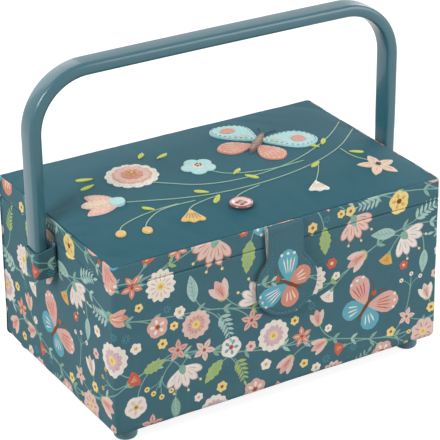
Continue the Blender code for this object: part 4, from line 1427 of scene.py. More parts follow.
def felt_star(place, turn, size):
    """A felt flower of five pointed petals with a dark knotted middle."""
    for number in range(5):
        way = spin(turn + 2 * math.pi * number / 5)
        shape = place + way * (petal(size, size * 0.5, 0.85, 0.85, 16) + size * 0.02)
        felt(shape, "beige", 0.15 * MM * (number % 2), 0.8 * MM, number)
        rise = (0.6, 0.98, 1.05, 1.05, 0.98, 0.6)
        long_stitch(place, way, 0.3 * size, 0.8 * size, rise, 0.4 * MM, "salmon")
    for number in range(4):
        knot(place + 0.08 * size * np.exp(0.5j * math.pi * number), 0.8 * MM, "dark", 0.9 * MM)


def felt_fan(place, turn, size, colour, stitches):
    """A fan-shaped bud with long stitches from its foot."""
    way = spin(turn)
    arc = size * spin(np.linspace(-0.62, 0.62, 18))
    shape = place + way * np.concatenate([[0], arc * (1 + 0.05 * np.cos(np.linspace(-8, 8, 18)))])
    felt(shape, colour, 0, 0.9 * MM, 6)
    for angle in np.linspace(-0.42, 0.42, 5):
        ray, rise = way * spin(angle), (0.75, 1.0, 1.05, 1.0, 0.75)
        long_stitch(place, ray, 0.3 * size, 0.88 * size, rise, 0.45 * MM, stitches)


print("Felt shapes ready")

# %% Felt butterfly
def wing(root, way, side, reach, wide, lean, colour, base, stitches):
    """One wing of the butterfly, edged with running stitch."""
    axis = way * spin(side * lean)
    shape = petal(reach, wide, 1.55, 0.62, 26)
    shape = root + axis * (shape + side * 0.05j * shape.real * shape.real / reach)
    felt(shape, colour, base, 0.9 * MM, side)
    running_stitch(shape, 1.5 * MM, stitches, base + 0.95 * MM)
    return axis


def felt_butterfly(place, turn, size):
    """A butterfly with aqua and salmon wings, seen from above."""
    way = spin(turn)
    for side in (1, -1):
        foot, neck = place - way * 0.06 * size, place + way * 0.03 * size
        lower = wing(foot, way, side, 0.36 * size, 0.25 * size, 2.15, "salmon", 0, "white")
        upper = wing(neck, way, side, 0.52 * size, 0.34 * size, 1.12, "aqua", 0.8 * MM, "dark")
        spot = place + upper * 0.36 * size + disc(0.068 * size, 26)
        felt(spot, "salmon", 1.6 * MM, 0.7 * MM, 8)
        blanket_stitch(spot, 1.1 * MM, "white", 2.3 * MM, 1.7 * MM)
        for number, reach in enumerate((0.14, 0.19, 0.24)):
            ray = upper * spin(side * (number - 1) * 0.22) * size
            rise = (1.5, 1.8, 1.85, 1.85, 1.8, 1.5)
            long_stitch(place, ray, 0.10, reach + 0.03, rise, 0.5 * MM, "mustard")
        for number in range(5):
            ray = lower * spin(side * (number - 2) * 0.16) * size
            long_stitch(foot, ray, 0.17, 0.28, (0.7, 1.0, 1.05, 1.0, 0.7), 0.5 * MM, "cream")
        feeler = bend(0, 0.1 + side * 0.02j, 0.15 + side * 0.075j, 12) * size
        feeler = place + way * (0.16 * size + feeler)
        thread(feeler, [0.25] * 12, 0.55 * MM, "dark", 5)
        knot(feeler[-1], 0.55 * MM, "dark")
    body = place + way * (petal(0.42 * size, 0.075 * size, 1.0, 0.6, 22) - 0.24 * size)
    felt(body, "brown", 1.2 * MM, 1.3 * MM, 9)
    for share in np.linspace(0.12, 0.8, 9):
        middle = place + way * size * (share * 0.42 - 0.24)
        ray = way * 1j * 0.035 * size * math.sin(math.pi * share)
        long_stitch(middle, ray, -1, 1, (1.7, 2.45, 2.55, 2.45, 1.7), 0.5 * MM, "beige")

# %% Lay out the lid's design
def on_lid(x, y):
    """A place on the lid in millimetres from its middle."""
    return (x + 1j * y) * MM


def smooth_way(*places):
    """A smooth line through places, as joined parabolas through their middles."""
    spots = [on_lid(*p) for p in places]
    middles = [(a + b) / 2 for a, b in zip(spots, spots[1:])]
    pieces = [bend(spots[0], spots[0], middles[0], 6)]
    for before, corner, after in zip(middles, spots[1:], middles[1:]):
        pieces.append(bend(before, corner, after, 14)[1:])
    pieces.append(bend(middles[-1], spots[-1], spots[-1], 6)[1:])
    return np.concatenate(pieces)


for places in (
    ((125, 34), (96, 4), (40, -24), (-20, -24), (-52, 4)),
    ((126, 18), (92, -16), (36, -36), (-30, -36), (-84, -12)),
    ((58, -20), (30, -22), (0, -14), (-8, -2)),
    ((-22, -37), (-44, -40), (-52, -46)),
    ((-40, -36), (-66, -34), (-82, -44), (-88, -52)),
    ((-52, -34), (-76, -34), (-98, -40), (-104, -46)),
    ((10, -38), (-8, -42), (-16, -46.5)),
    ((66, -25), (58, -38), (46, -52)),
    ((92, -14), (92, -30), (98, -40)),
):
    stem(smooth_way(*places))
dahlia(on_lid(-58, 20), 19 * MM)
five_petals(on_lid(-12, 8), 12.5 * MM, 0.5, "aqua", "cream", "white")
felt_tulip(on_lid(-84, -12), 2.75, 27 * MM)
felt_star(on_lid(100, -50), 0.2, 15 * MM)
felt_fan(on_lid(-50, -45), -1.9, 15 * MM, "mustard", "brown")
felt_fan(on_lid(47, -50), -1.9, 13 * MM, "white", "mustard")
for x, y in ((-88, -55), (-105, -50)):
    berry = on_lid(x, y) + disc(3.6 * MM, 24)
    felt(berry, "mustard", 0, 1.3 * MM)
    running_stitch(berry, 1.1 * MM, "white", 1.3 * MM, 1.2 * MM, 1.2 * MM, 0.4 * MM)
for x, y, turn, length in (
    (-82, 30, 2.7, 13), (-86, 22, 3.3, 12), (-40, 42, 0.9, 13), (-30, 35, 0.4, 12), (-22, -37, 3.9, 12),
    (-26, -31, 2.4, 11), (2, -16, 0.6, 11), (8, -20, -0.9, 11), (80, -7, 2.0, 12), (84, -4, 0.9, 12),
    (66, -27, 3.6, 11), (94, -22, -0.5, 11), (-70, -34, 2.2, 10),
):
    satin_leaf(on_lid(x, y), turn, length * MM, length * 0.46 * MM)
felt_butterfly(on_lid(46, 22), 0.75, 82 * MM)
print(len(felt_parts), "felt patches and", len(thread_parts), "stitches")

# %% Sew the felt and the thread on
def coloured_piece(name, points, faces, inks, flat, material):
    """A mesh with a colour for each face and its own flat places."""
    sizes = [len(face) for face in faces]
    made = mesh_piece(name, points, faces, material, flat, np.repeat(inks, sizes, axis=0))
    print(name, "has", len(faces), "faces")
    return made


def pile_of_felt():
    """Every felt patch as one list of points, faces and colours."""
    points, faces, inks, flat = [], [], [], []
    count = 0
    for spots, heights, corners, colour in felt_parts:
        points.append(np.stack([spots.real, spots.imag + middle_y, heights], axis=1))
        flat.append(np.stack([spots.real, spots.imag, heights * 1.0], axis=1))
        faces += (np.array(corners) + count).tolist()
        inks += [colour] * len(corners)
        count += len(spots)
    return np.concatenate(points), faces, np.array(inks), np.concatenate(flat)


def threads_mesh(parts, level, lift):
    """Tubes along the threads, as points, faces, colours and places along and round them."""
    points, faces, inks, flat = [], [], [], []
    count = 0
    for line, heights, width, colour, sides, squash in parts:
        rows = len(line)
        way = np.gradient(line)
        across = 1j * way / np.maximum(np.abs(way), 1e-9)
        share = np.linspace(-1, 1, rows)
        size = width / 2 * np.sqrt(1 - 0.82 * share**4)
        turn = 2 * np.pi * np.arange(sides) / sides
        spots = line[:, None] + across[:, None] * size[:, None] * np.cos(turn)
        z = (level(line) + heights)[:, None] + size[:, None] * squash * np.sin(turn)
        points.append(lift(spots.ravel(), z.ravel()))
        along = lengths(line)[:, None]
        place = np.stack([along + 0 * z, width * turn[None, :] + 0 * z, 0 * z + count * MM], axis=2)
        flat.append(place.reshape(-1, 3))
        number = count + np.arange(rows * sides).reshape(rows, sides)
        quads = squares(np.append(number, number[:, :1], axis=1)).tolist()
        faces += quads + [number[0][::-1].tolist(), number[-1].tolist()]
        inks += [colour] * (len(quads) + 2)
        count += rows * sides
    return np.concatenate(points), faces, np.array(inks), np.concatenate(flat)


def over_lid(spots, z):
    """Places over the middle of the lid."""
    return np.stack([spots.real, spots.imag + middle_y, z], axis=1)


felt_patches = coloured_piece("felt_patches", *pile_of_felt(), felt_look)
embroidery = coloured_piece("embroidery", *threads_mesh(thread_parts, lid_level, over_lid), thread_look)
for piece in (felt_patches, embroidery):
    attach(piece, "lid")
print("Felt cut:", round(sum(felt_areas) * 10000), "square centimetres")
sum(felt_areas)

# %% [markdown]
# The handle is one injection-moulded strap with a satin surface. A rounded section is swept
# up one leg, round a large corner, along the slightly arched top and down again.

# %% Satin plastic
def plastic(name, colour, rough=0.34, coat=0.0, grain=0.25):
    """Moulded plastic with the fine grain that the mould leaves."""
    made, tree, shader = new_material(name, {"Base Color": colour, "Coat Weight": coat})
    place = add_node(tree, "ShaderNodeTexCoord").outputs["Object"]
    broad = maths(tree, "SUBTRACT", noise(tree, place, 40.0), 0.5)
    varied = maths(tree, "ADD", maths(tree, "MULTIPLY", broad, 0.10), rough)
    tree.links.new(varied, shader.inputs["Roughness"])
    bumped(tree, shader, noise(tree, place, 2600.0, 3.0), 0.02 * MM, grain)
    return made


handle_plastic = plastic("handle_plastic", paint(47, 97, 109), coat=0.35)
print("Plastic:", handle_plastic.name)

# %% Mould the handle
bow_low, bow_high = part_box("handle_bow")
strap_thick = 9 * MM
strap_deep = bow_high.y - bow_low.y + 0.6 * MM
bend_radius = 45 * MM - strap_thick / 2
arch = 0.3 * MM
edge_round = 2.5 * MM


def bow_line():
    """The middle line of the strap from the left toe to the right one, as x and z."""
    side = bow_high.x - strap_thick / 2
    top = bow_high.z - strap_thick / 2
    span = side - bend_radius
    lean = 2 * arch / span
    shoulder = top - arch
    corner = -span + 1j * (shoulder - bend_radius)
    turn = np.linspace(math.pi, math.pi / 2 + lean, 25)
    left = corner + bend_radius * spin(turn)
    leg = -side + 1j * np.linspace(bow_low.z, left[0].imag, 14)
    over = np.linspace(left[-1].real, 0, 14)
    beam = over + 1j * (top - arch * (over / span) ** 2)
    half = np.concatenate([leg[:-1], left[:-1], beam])
    return np.concatenate([half, -half.conj()[-2::-1]])


def section(thick, deep, radius, steps=4):
    """A rounded rectangle as x and y, walked anticlockwise."""
    x, y = thick / 2 - radius, deep / 2 - radius
    corners = [(x, y, 0), (-x, y, 1), (-x, -y, 2), (x, -y, 3)]
    ring = []
    for cx, cy, quarter in corners:
        turn = (quarter + np.linspace(0, 1, steps + 1)) * math.pi / 2
        ring.append(cx + 1j * cy + radius * spin(turn))
    return np.concatenate(ring)


def swept(line, ring, y):
    """A ring swept along a line in x and z, closed at both ends."""
    tangent = np.gradient(line)
    outward = 1j * tangent / np.abs(tangent)
    spots = line[:, None] + outward[:, None] * ring.real[None, :]
    points = np.stack([spots.real, y + 0 * spots.real + ring.imag[None, :], spots.imag], axis=2)
    number = np.arange(spots.size).reshape(spots.shape)
    quads = squares(np.append(number, number[:, :1], axis=1))[:, [0, 3, 2, 1]]
    return points.reshape(-1, 3), quads.tolist() + [number[0].tolist(), number[-1][::-1].tolist()]


bow_middle = (bow_low.y + bow_high.y) / 2
strap = section(strap_thick, strap_deep, edge_round)
bow_points, bow_faces = swept(bow_line(), strap, bow_middle)
above = ((bow_points[:, 2] - lid_edge) / (bow_high.z - lid_edge)).clip(0, 1)
bow_points[:, 0] -= 1.3 * MM * above
bow_points[:, 1] += 0.07 * (bow_points[:, 1] - bow_middle) * (8 * above).clip(0, 1)
handle = mesh_piece("handle", bow_points, bow_faces, handle_plastic)
handle.data.set_sharp_from_angle(angle=math.radians(50))
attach(handle, "handle")
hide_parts("handle_bow")
print("handle has", len(bow_faces), "faces")

# %% [markdown]
# Each end of the handle sits in a short sleeve of the printed cloth. A sleeve is a small
# strip wrapped round a flat tube. Its mouth is turned in and pulls a little away from the
# plastic, and its sides carry the creases that the folded cloth keeps.

# %% Wrap the sleeves
sleeve_creases = sum_of_waves(31, 7, 26 * MM, 8 * MM, 0.35 * MM)


def sleeve(name, side, cut):
    """A printed sleeve round one end of the handle."""
    low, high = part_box(name)
    outer, inner = max(abs(low.x), abs(high.x)), half_width + 0.9 * MM
    middle = (side * (outer + inner) / 2, (low.y + high.y) / 2)
    half_x, half_y = (outer - inner) / 2, (high.y - low.y) / 2
    radius = 3.2 * MM
    plan = tour(half_x, half_y, radius)
    levels = profile(
        (3.1 * MM, low.z + 0.2 * MM, 0),
        (0, low.z + 0.2 * MM, 1.6 * MM),
        (0, high.z, 0.5 * MM),
        (0.9 * MM, high.z, 0.3 * MM),
        (0.9 * MM, high.z - 6 * MM, 0),
    )
    total = levels[0][-1]

    def waves(x, y):
        crease = sleeve_creases(x + side * 0.1, 0.6 * y)
        return 0.5 * crease * np.sin(np.pi * (y / total).clip(0, 1)) - 0.2 * MM

    panel, fold, uv = strip(plan, levels, radius, waves, cut, gap=1.5 * MM, centre=middle)

    def slanted(x, y):
        points = fold(x, y)
        deep_in = ((outer - side * points[:, 0]) / (outer - inner)).clip(0, 1)
        points[:, 2] += 3.6 * MM * deep_in**2 * ((points[:, 2] - low.z) / (high.z - low.z)).clip(0, 1) ** 3
        return points

    sole = complex(half_x - radius + 0.3 * MM, half_y - radius + 0.3 * MM)
    spot = cut + 0.06
    bottom = cut_panel(rectangle(spot - sole, spot + sole), [], ground_colour)

    def under(x, y):
        x, y = x - spot.real, y - spot.imag
        return np.stack([x + middle[0], middle[1] - y, 0 * x + low.z + 0.2 * MM], axis=1)

    panels = [(panel, slanted, uv), (bottom, under, plain_uv(spot - sole, spot + sole))]
    made = sew("sleeve_" + name[-5:].strip("_"), panels, "handle")
    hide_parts(name)


sleeve("handle_sleeve_left", -1, 0.052 + 0.052j)
sleeve("handle_sleeve_right", 1, 0.17 + 0.12j)

# %% [markdown]
# Machine stitching finishes the small pieces. A stitch is laid on a piece's flat panel and
# is carried to its place by the same folding function as the cloth below it.

# %% Stitch the tab and the sleeves
def lifted(fold, shift=0):
    """A function that puts flat places at a height over the folded cloth."""

    def lift(spots, rise):
        x, y = (spots + shift).real, (spots + shift).imag
        return fold(x, y) + facing(fold, x, y, 0.1 * MM) * rise[:, None]

    return lift


def machine_stitches(line, length, pause, width, colour):
    """Stitches of one length along a flat line, each pulled in at its ends."""
    count = int(lengths(line)[-1] // (length + pause))
    parts = []
    for number in range(count):
        path = walk(line, number * (length + pause) + np.linspace(0, length, 5))
        parts.append((path, 0.12 * MM * np.array([-1.4, 0.8, 1.2, 0.8, -1.4]), width, colour, 6, 0.8))
    return parts


def no_level(line):
    """Stitches that count their height from the cloth itself."""
    return 0 * np.abs(line)


tab_ring = tab_outline(stitch_inset, 60)
tab_stitches = machine_stitches(tab_ring[1:-1], 2.3 * MM, 0.45 * MM, 0.42 * MM, paint(90, 134, 146))
tab_threads = threads_mesh(tab_stitches, no_level, lifted(tab_front[1], tab_cut))
tab_sewing = coloured_piece("tab_stitching", *tab_threads, thread_look)
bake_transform(clasp_tab)
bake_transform(tab_sewing)

# %% [markdown]
# Plain sheets, such as linings and the hinge cloth, are grids. The same folding functions
# shape them, and they carry the same flat coordinates for the weave.

# %% Sheets of plain cloth
def spaced(knots, gap):
    """The knots and even steps between them, no wider than a gap."""
    spans = [np.linspace(a, b, max(1, math.ceil((b - a) / gap)) + 1)[:-1] for a, b in zip(knots, knots[1:])]
    return np.append(np.concatenate(spans), knots[-1])


lining_look = paint(232, 226, 212)
lining_cotton = cotton("lining_cotton", lining_look, thread=0.4 * MM, slub=0.05, dye=0.03, rough=0.72)


def grid_piece(name, xs, ys, fold, body, inside_out=False, material=lining_cotton, slot_name="lining_cotton"):
    """A sheet from grid lines and a folding function."""
    x, y = (part.ravel() for part in np.meshgrid(xs, ys))
    quads = squares(np.arange(len(x)).reshape(len(ys), len(xs)))
    if inside_out:
        quads = quads[:, ::-1]
    made = flat_piece(name, x, y, 0 * x, quads, material)
    made.data.vertices.foreach_set("co", fold(x, y).ravel())
    made.data.update()
    if body:
        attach(made, body)
    print(name, "has", len(quads), "squares")
    return made


def room_half(name):
    """Half the width and half the depth of a node's box."""
    low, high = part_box(name)
    return (high.x - low.x) / 2, (high.y - low.y) / 2

# %% Line the case
lining_low, lining_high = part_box("body_lining")
room_inset = half_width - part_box("tray_ledge_right")[1].x - 0.3 * MM
floor_level = lining_low.z + 1.0 * MM
lining_levels = profile(
    (2.9 * MM, case_high.z + 0.05 * MM, 0),
    (room_inset, case_high.z + 0.05 * MM, 0.8 * MM),
    (room_inset, floor_level, 2.0 * MM),
    (room_inset + 4 * MM, floor_level, 0),
)
lining_waves = sum_of_waves(41, 9, 70 * MM, 18 * MM, 0.25 * MM)
def lining_folds(x, y):
    """The lining's waves, which only ever stand into the room."""
    return -np.abs(lining_waves(x, y))


lining_fold = wrapped(case_plan, lining_levels, corner_radius, lining_folds)
lining_rows = spaced(lining_levels[0], 3 * MM)
case_lining = grid_piece("case_lining", spaced(case_plan[0], 4 * MM), lining_rows, lining_fold, "case")
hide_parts("body_lining")

# %% Pad the floor
floor_x = half_width - room_inset - 0.6 * MM
floor_y = half_depth - room_inset - 0.6 * MM
x, y, quads, rim = net(floor_x, floor_y, 2 * MM, 6 * MM)
puff = 1.0 * MM * (1 - (x / floor_x) ** 8) * (1 - (y / floor_y) ** 8)
pad_level = floor_level + 0.2 * MM + puff
floor_pad = flat_piece("floor_pad", x, y + middle_y, pad_level, quads, lining_cotton)
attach(floor_pad, "case")
print("Floor at", round(floor_level / MM, 1), "mm")

# %% Cover the base and the ledges
base_low, base_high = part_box("base_cover")
base_x, base_y = room_half("base_cover")


def base_fold(x, y):
    """The sheet glued under the base, its edges turned in."""
    edge = np.minimum(base_x - np.abs(x), base_y - np.abs(y)).clip(0, None)
    deep = (base_high.z - base_low.z) * np.sqrt((edge / (0.8 * MM)).clip(0, 1))
    level = base_high.z - deep + 0.2 * lining_waves(x, y) ** 2 / MM
    return np.stack([x, y + (base_low.y + base_high.y) / 2, level], axis=1)


turned_in = np.array([0, 0.1, 0.3, 0.8]) * MM
xs = spaced(np.concatenate([-base_x + turned_in, base_x - turned_in[::-1]]), 7 * MM)
ys = spaced(np.concatenate([-base_y + turned_in, base_y - turned_in[::-1]]), 7 * MM)
base_sheet = grid_piece("base_sheet", xs, ys, base_fold, "case", inside_out=True)
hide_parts("base_cover")


def covered_card(name, node):
    """A strip of card with the lining cloth folded round it."""
    low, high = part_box(node)
    size = high - low
    shape = bmesh.new()
    where = Matrix.Translation((low + high) / 2) @ Matrix.Diagonal((*size, 1))
    bmesh.ops.create_cube(shape, size=1, matrix=where)
    edge_round = 0.3 * min(size)
    bmesh.ops.bevel(shape, geom=shape.edges[:], offset=edge_round, segments=3, profile=0.5, affect="EDGES")
    mesh = bpy.data.meshes.new(name)
    shape.to_mesh(mesh)
    shape.free()
    spots = np.array([v.co[:] for v in mesh.vertices])
    flat = np.stack([spots[:, 1], spots[:, 2] + np.abs(spots[:, 0]), 0 * spots[:, 0]], axis=1)
    place = mesh.attributes.new("cloth_place", "FLOAT_VECTOR", "POINT")
    place.data.foreach_set("vector", flat.ravel())
    mesh.shade_smooth()
    mesh.materials.append(lining_cotton)
    made = add_object(name, mesh)
    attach(made, "case")
    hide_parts(node)
    print(name, "is", [round(part / MM, 1) for part in size], "mm")


covered_card("ledge_cloth_left", "tray_ledge_left")
covered_card("ledge_cloth_right", "tray_ledge_right")

# %% Line the lid
lid_room_low, lid_room_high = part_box("lid_lining")
pocket_low, pocket_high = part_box("lid_pocket")
band_low, band_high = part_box("pocket_elastic")
ceiling = lid_room_high.z - 1.0 * MM
lid_room_x, lid_room_y = room_half("lid_lining")
lid_inset = half_width - lid_room_x + 1.0 * MM
lid_wall_levels = profile(
    (lid_inset, lid_room_low.z, 0),
    (lid_inset, ceiling, 1.2 * MM),
    (lid_inset + 6 * MM, ceiling, 0),
)
lid_wall_fold = wrapped(case_plan, lid_wall_levels, corner_radius)
columns, rows = spaced(case_plan[0], 5 * MM), spaced(lid_wall_levels[0], 2 * MM)
lid_wall = grid_piece("lid_lining_wall", columns, rows, lid_wall_fold, "lid", inside_out=True)
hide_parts("lid_lining")
quilt_x, quilt_y = half_width - lid_inset - 0.4 * MM, half_depth - lid_inset - 0.4 * MM
quilt_cell = 24 * MM


def quilted(x, y):
    """How deep the quilt's diamonds swell between their stitched lines."""
    one = np.abs(np.sin(np.pi * (x + y) / quilt_cell))
    two = np.abs(np.sin(np.pi * (x - y) / quilt_cell))
    edge = (1 - (np.abs(x) / quilt_x) ** 10) * (1 - (np.abs(y) / quilt_y) ** 10)
    under_pocket = 1 / (1 + np.exp(-(band_low.y - 3 * MM - y - middle_y) / (1.5 * MM)))
    return 2.6 * MM * (one * two) ** 0.55 * edge * under_pocket


x, y, quads, rim = net(quilt_x, quilt_y, 2 * MM, 1.9 * MM)
quilt_level = ceiling - 0.1 * MM - quilted(x, y)
quilt = flat_piece("lid_quilt", x, y + middle_y, quilt_level, quads[:, ::-1], lining_cotton)
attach(quilt, "lid")
print("Quilt of", len(quads), "squares")

# %% Hang the pocket
pocket_half = (pocket_high.x - pocket_low.x) / 2
pocket_deep = pocket_high.y - band_low.y
gathers = sum_of_waves(51, 10, 16 * MM, 7 * MM, 1.0 * MM)


def pocket_fold(x, y):
    """The pocket: flat where it is sewn down, gathered and standing off at its mouth."""
    mouth = (1 - y / pocket_deep).clip(0, 1)
    side = 1 - (np.abs(x) / pocket_half) ** 6
    stand = (0.5 + 2.6 * mouth**1.4) * MM * side + 0.25 * MM
    folds = gathers(x, 0.12 * y) * (0.25 + 0.75 * mouth**0.8) * side
    neck = 0.55 * np.exp(-(((y - 5 * MM) / (2.4 * MM)) ** 2)) * (2.0 * MM * side)
    level = ceiling - stand - folds + neck
    return np.stack([x, band_low.y + y, np.minimum(level, ceiling - 0.2 * MM)], axis=1)


columns = spaced(np.array([-pocket_half, pocket_half]), 1.3 * MM)
rows = spaced(np.array([0, pocket_deep]), 1.6 * MM)
pocket = grid_piece("lid_pocket_cloth", columns, rows, pocket_fold, "lid", inside_out=True)
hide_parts("lid_pocket", "pocket_elastic")

# %% [markdown]
# The hinge is a strip of the plain cotton that is glued and stitched across the seam at
# the back, where it has to bend with the lid.

# %% Sew the hinge cloth
hinge_low, hinge_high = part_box("hinge_tape_lower")
hinge_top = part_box("hinge_tape_upper")[1].z
hinge_half = (hinge_high.x - hinge_low.x) / 2
hinge_deep = hinge_top - hinge_low.z
hinge_waves = sum_of_waves(61, 8, 40 * MM, 9 * MM, 0.12 * MM)


def hinge_fold(x, y):
    """A flat strip with edges that are turned under."""
    edge = np.minimum(hinge_half - np.abs(x), np.minimum(y, hinge_deep - y)).clip(0, None)
    out = 0.75 * MM * np.sqrt((edge / (0.8 * MM)).clip(0, 1)) + hinge_waves(x, y)
    return np.stack([-x, half_depth + middle_y + 0.1 * MM + out, hinge_low.z + y], axis=1)


xs = spaced(np.concatenate([-hinge_half + turned_in, hinge_half - turned_in[::-1]]), 3 * MM)
ys = spaced(np.concatenate([turned_in, hinge_deep - turned_in[::-1]]), 1.5 * MM)
looks = {"material": lid_cotton, "slot_name": "plain_cotton"}
hinge_cloth = grid_piece("hinge_cloth", xs, ys, hinge_fold, None, **looks)
hinge_lines = []
for level in (1.8 * MM, hinge_deep - 1.8 * MM):
    line = np.array([-hinge_half + 1.8 * MM, hinge_half - 1.8 * MM]) + 1j * level
    hinge_lines += machine_stitches(line, 2.4 * MM, 0.5 * MM, 0.42 * MM, paint(96, 138, 148))
hinge_threads = threads_mesh(hinge_lines, no_level, lifted(hinge_fold))
hinge_sewing = coloured_piece("hinge_stitching", *hinge_threads, thread_look)
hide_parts("hinge_tape_lower", "hinge_tape_upper")
seam = (case_high.z + rim_low.z) / 2
seam_start, seam_end = (0, hinge_high.y, seam - 3.5 * MM), (0, hinge_high.y, seam + 3.5 * MM)
for piece in (hinge_cloth, hinge_sewing):
    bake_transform(piece)
    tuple(seam_start)
    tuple(seam_end)

# %% [markdown]
# The button is turned with a dished face and four real holes. It is reddish at the middle
# and pale further out, and its very edge is darker, as painted shade for the shadow line round
# it. The thread in the holes is near black, as painted shade for their depth, and brown thread
# crosses in two pairs.

# %% Turn the button
button_low, button_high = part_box("lid_button")
button_radius = (button_high.x - button_low.x) / 2
button_thick = button_high.z - button_low.z
button_middle = (button_low + button_high) / 2
hole_radius, hole_reach = 1.3 * MM, 3.0 * MM
hole_corners = hole_reach * spin(math.pi * np.array([0.25, 0.75, 1.25, 1.75]))
button_turn = 0.4


def lathe(name, rings, steps=64):
    """A closed body turned about Z from (radius, height) points, top middle to bottom middle."""
    shape = bmesh.new()
    top = shape.verts.new((0, 0, rings[0][1]))
    loops = []
    for radius, level in rings:
        turns = [2 * math.pi * i / steps for i in range(steps)]
        loops.append([shape.verts.new((radius * math.cos(t), radius * math.sin(t), level)) for t in turns])
    end = shape.verts.new((0, 0, rings[-1][1]))
    for i in range(steps):
        after = (i + 1) % steps
        shape.faces.new((top, loops[0][i], loops[0][after]))
        shape.faces.new((end, loops[-1][after], loops[-1][i]))
        for one, two in zip(loops, loops[1:]):
            shape.faces.new((one[i], two[i], two[after], one[after]))
    mesh = bpy.data.meshes.new(name)
    shape.to_mesh(mesh)
    shape.free()
    return add_object(name, mesh)


r, t = button_radius, button_thick
button_rings = [
    (0.45 * r, 0.72 * t),
    (0.62 * r, 0.74 * t),
    (0.70 * r, 0.86 * t),
    (0.78 * r, 0.97 * t),
    (0.88 * r, 1.0 * t),
    (0.96 * r, 0.88 * t),
    (1.0 * r, 0.62 * t),
    (0.97 * r, 0.34 * t),
    (0.86 * r, 0.12 * t),
    (0.72 * r, 0.0 * t),
]
button = lathe("button", button_rings)
holes = []
for corner in hole_corners:
    hole = lathe("button_hole", [(hole_radius, 2 * t), (hole_radius, -t)], 20)
    hole.location = (corner.real, corner.imag, 0)
    drill = button.modifiers.new("hole", "BOOLEAN")
    drill.object = hole
    drill.solver = "EXACT"
    holes.append(hole)
bpy.context.view_layer.update()
drilled = bpy.data.meshes.new_from_object(button.evaluated_get(bpy.context.evaluated_depsgraph_get()))
button.modifiers.clear()
button.data = drilled
for hole in holes:
    bpy.data.objects.remove(hole)
drilled.shade_smooth()
drilled.set_sharp_from_angle(angle=math.radians(35))
button.location = (button_middle.x, button_middle.y, button_low.z)
button.rotation_euler.z = button_turn

# %% Colour the button
button_look = plastic("button_resin", paint(206, 150, 142), 0.22, 0.4, 0.0)
tree = button_look.node_tree
shader = tree.nodes["Principled BSDF"]
flat_place = scaled(tree, add_node(tree, "ShaderNodeTexCoord").outputs["Object"], (1, 1, 0))
reach = add_node(tree, "ShaderNodeVectorMath", {"operation": "LENGTH"}, {0: flat_place}).outputs["Value"]
cloud = maths(tree, "MULTIPLY", noise(tree, flat_place, 260.0, 3.0), 2.2 * MM)
share = maths(tree, "DIVIDE", maths(tree, "ADD", reach, cloud), button_radius)
ramp = add_node(tree, "ShaderNodeValToRGB", None, {"Fac": share})
ramp.color_ramp.elements[0].position = 0.35
ramp.color_ramp.elements[0].color = paint(206, 140, 130)
# The darkest tone, at and past the rim, is painted shade for the shadow line round the button's edge.
ramp.color_ramp.elements[1].position = 1.08
ramp.color_ramp.elements[1].color = paint(128, 76, 74)
pale = ramp.color_ramp.elements.new(0.78)
pale.color = paint(236, 206, 198)
edge_tone = ramp.color_ramp.elements.new(0.98)
edge_tone.color = paint(208, 148, 138)
tree.links.new(ramp.outputs["Color"], shader.inputs["Base Color"])
drilled.materials.clear()
drilled.materials.append(button_look)
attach(button, "lid")
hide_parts("lid_button")
button_stitches = []
# The thread that fills the holes is coloured near black, darker than the brown thread that crosses them:
# painted shade for the depth of the holes.
hole_shade_colour = paint(48, 26, 22)
for corner in hole_corners:
    for strand in (-0.6, 0.0, 0.6):
        line = corner + hole_radius * (np.linspace(-0.7, 0.7, 4) + 1j * strand)
        button_stitches.append((line, 0.74 * t - 0.8 * MM + 0 * line.real, 0.8 * MM, hole_shade_colour, 6, 0.9))
for side in (hole_corners[:2], hole_corners[3:1:-1]):
    for strand in (-0.15, 0.15):
        line = np.linspace(side[0], side[1], 7) + 1j * strand * MM
        rise = 0.74 * t + MM * np.array([-0.9, 0.0, 0.16, 0.18, 0.16, 0.0, -0.9])
        button_stitches.append((line, rise, 0.28 * MM, FELT["brown"], 6, 0.9))


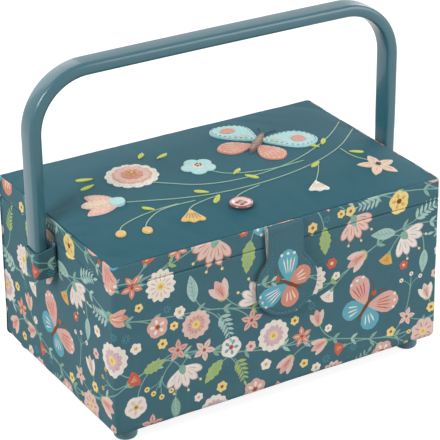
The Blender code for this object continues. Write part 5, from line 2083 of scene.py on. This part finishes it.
def over_button(spots, rise):
    """Places over the button's middle."""
    spots = spots * spin(button_turn)
    return np.stack([spots.real + button_middle.x, spots.imag + button_middle.y, rise + button_low.z], axis=1)


button_threads = threads_mesh(button_stitches, no_level, over_button)
button_thread = coloured_piece("button_thread", *button_threads, thread_look)
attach(button_thread, "lid")

# %% [markdown]
# The solids that stay as they are get their finish here: grey board with its pressed
# fibres, moulded plastic for the feet and the tray, and plated steel for screws and rivets.

# %% Finish what the model brings
def board_look(name, colour):
    """Pressed board, speckled with fibres."""
    made, tree, shader = new_material(name, {"Roughness": 0.9})
    place = add_node(tree, "ShaderNodeTexCoord").outputs["Object"]
    flecks = noise(tree, scaled(tree, place, (1, 1, 5)), 700.0, 4.0)
    tint = maths(tree, "ADD", maths(tree, "MULTIPLY", maths(tree, "SUBTRACT", flecks, 0.5), 0.5), 1.0)
    tinted(tree, shader, plain_colour(tree, colour), tint)
    bumped(tree, shader, flecks, 0.1 * MM, 0.5)
    return made


def metal_look(name, colour, rough):
    """Plated metal with a fine grain."""
    made = plastic(name, colour, rough, 0.0, 0.15)
    made.node_tree.nodes["Principled BSDF"].inputs["Metallic"].default_value = 1.0
    return made


def finish(material, *names):
    """Give nodes of the model one material."""
    for name in names:
        node = bpy.data.objects[name]
        node.data.materials.clear()
        node.data.materials.append(material)
        for face in node.data.polygons:
            face.material_index = 0


corners = ("front_left", "front_right", "back_left", "back_right")
finish(board_look("greyboard", paint(172, 160, 142)), "base_board", *boards, "lid_board")
finish(bpy.data.materials["greyboard"], *rails)
finish(plastic("foot_plastic", paint(66, 108, 118), 0.42), *("foot_" + c for c in corners))
# The bushes are coloured dark teal as painted shade for the shadowed gap between the handle's ends and the
# case.
finish(plastic("bush_plastic_painted_shade", paint(44, 72, 80), 0.45), "handle_bush_left", "handle_bush_right")
finish(plastic("tray_plastic", paint(228, 230, 224), 0.28, 0.1), "tray")
finish(metal_look("plated_steel", paint(200, 200, 202), 0.3), *("foot_screw_" + c for c in corners))
finish(bpy.data.materials["plated_steel"], "handle_rivet_left", "handle_rivet_right", "catch_plate")
finish(metal_look("magnet", paint(110, 110, 114), 0.45), "clasp_magnet")
print("Finished the nodes that stay")
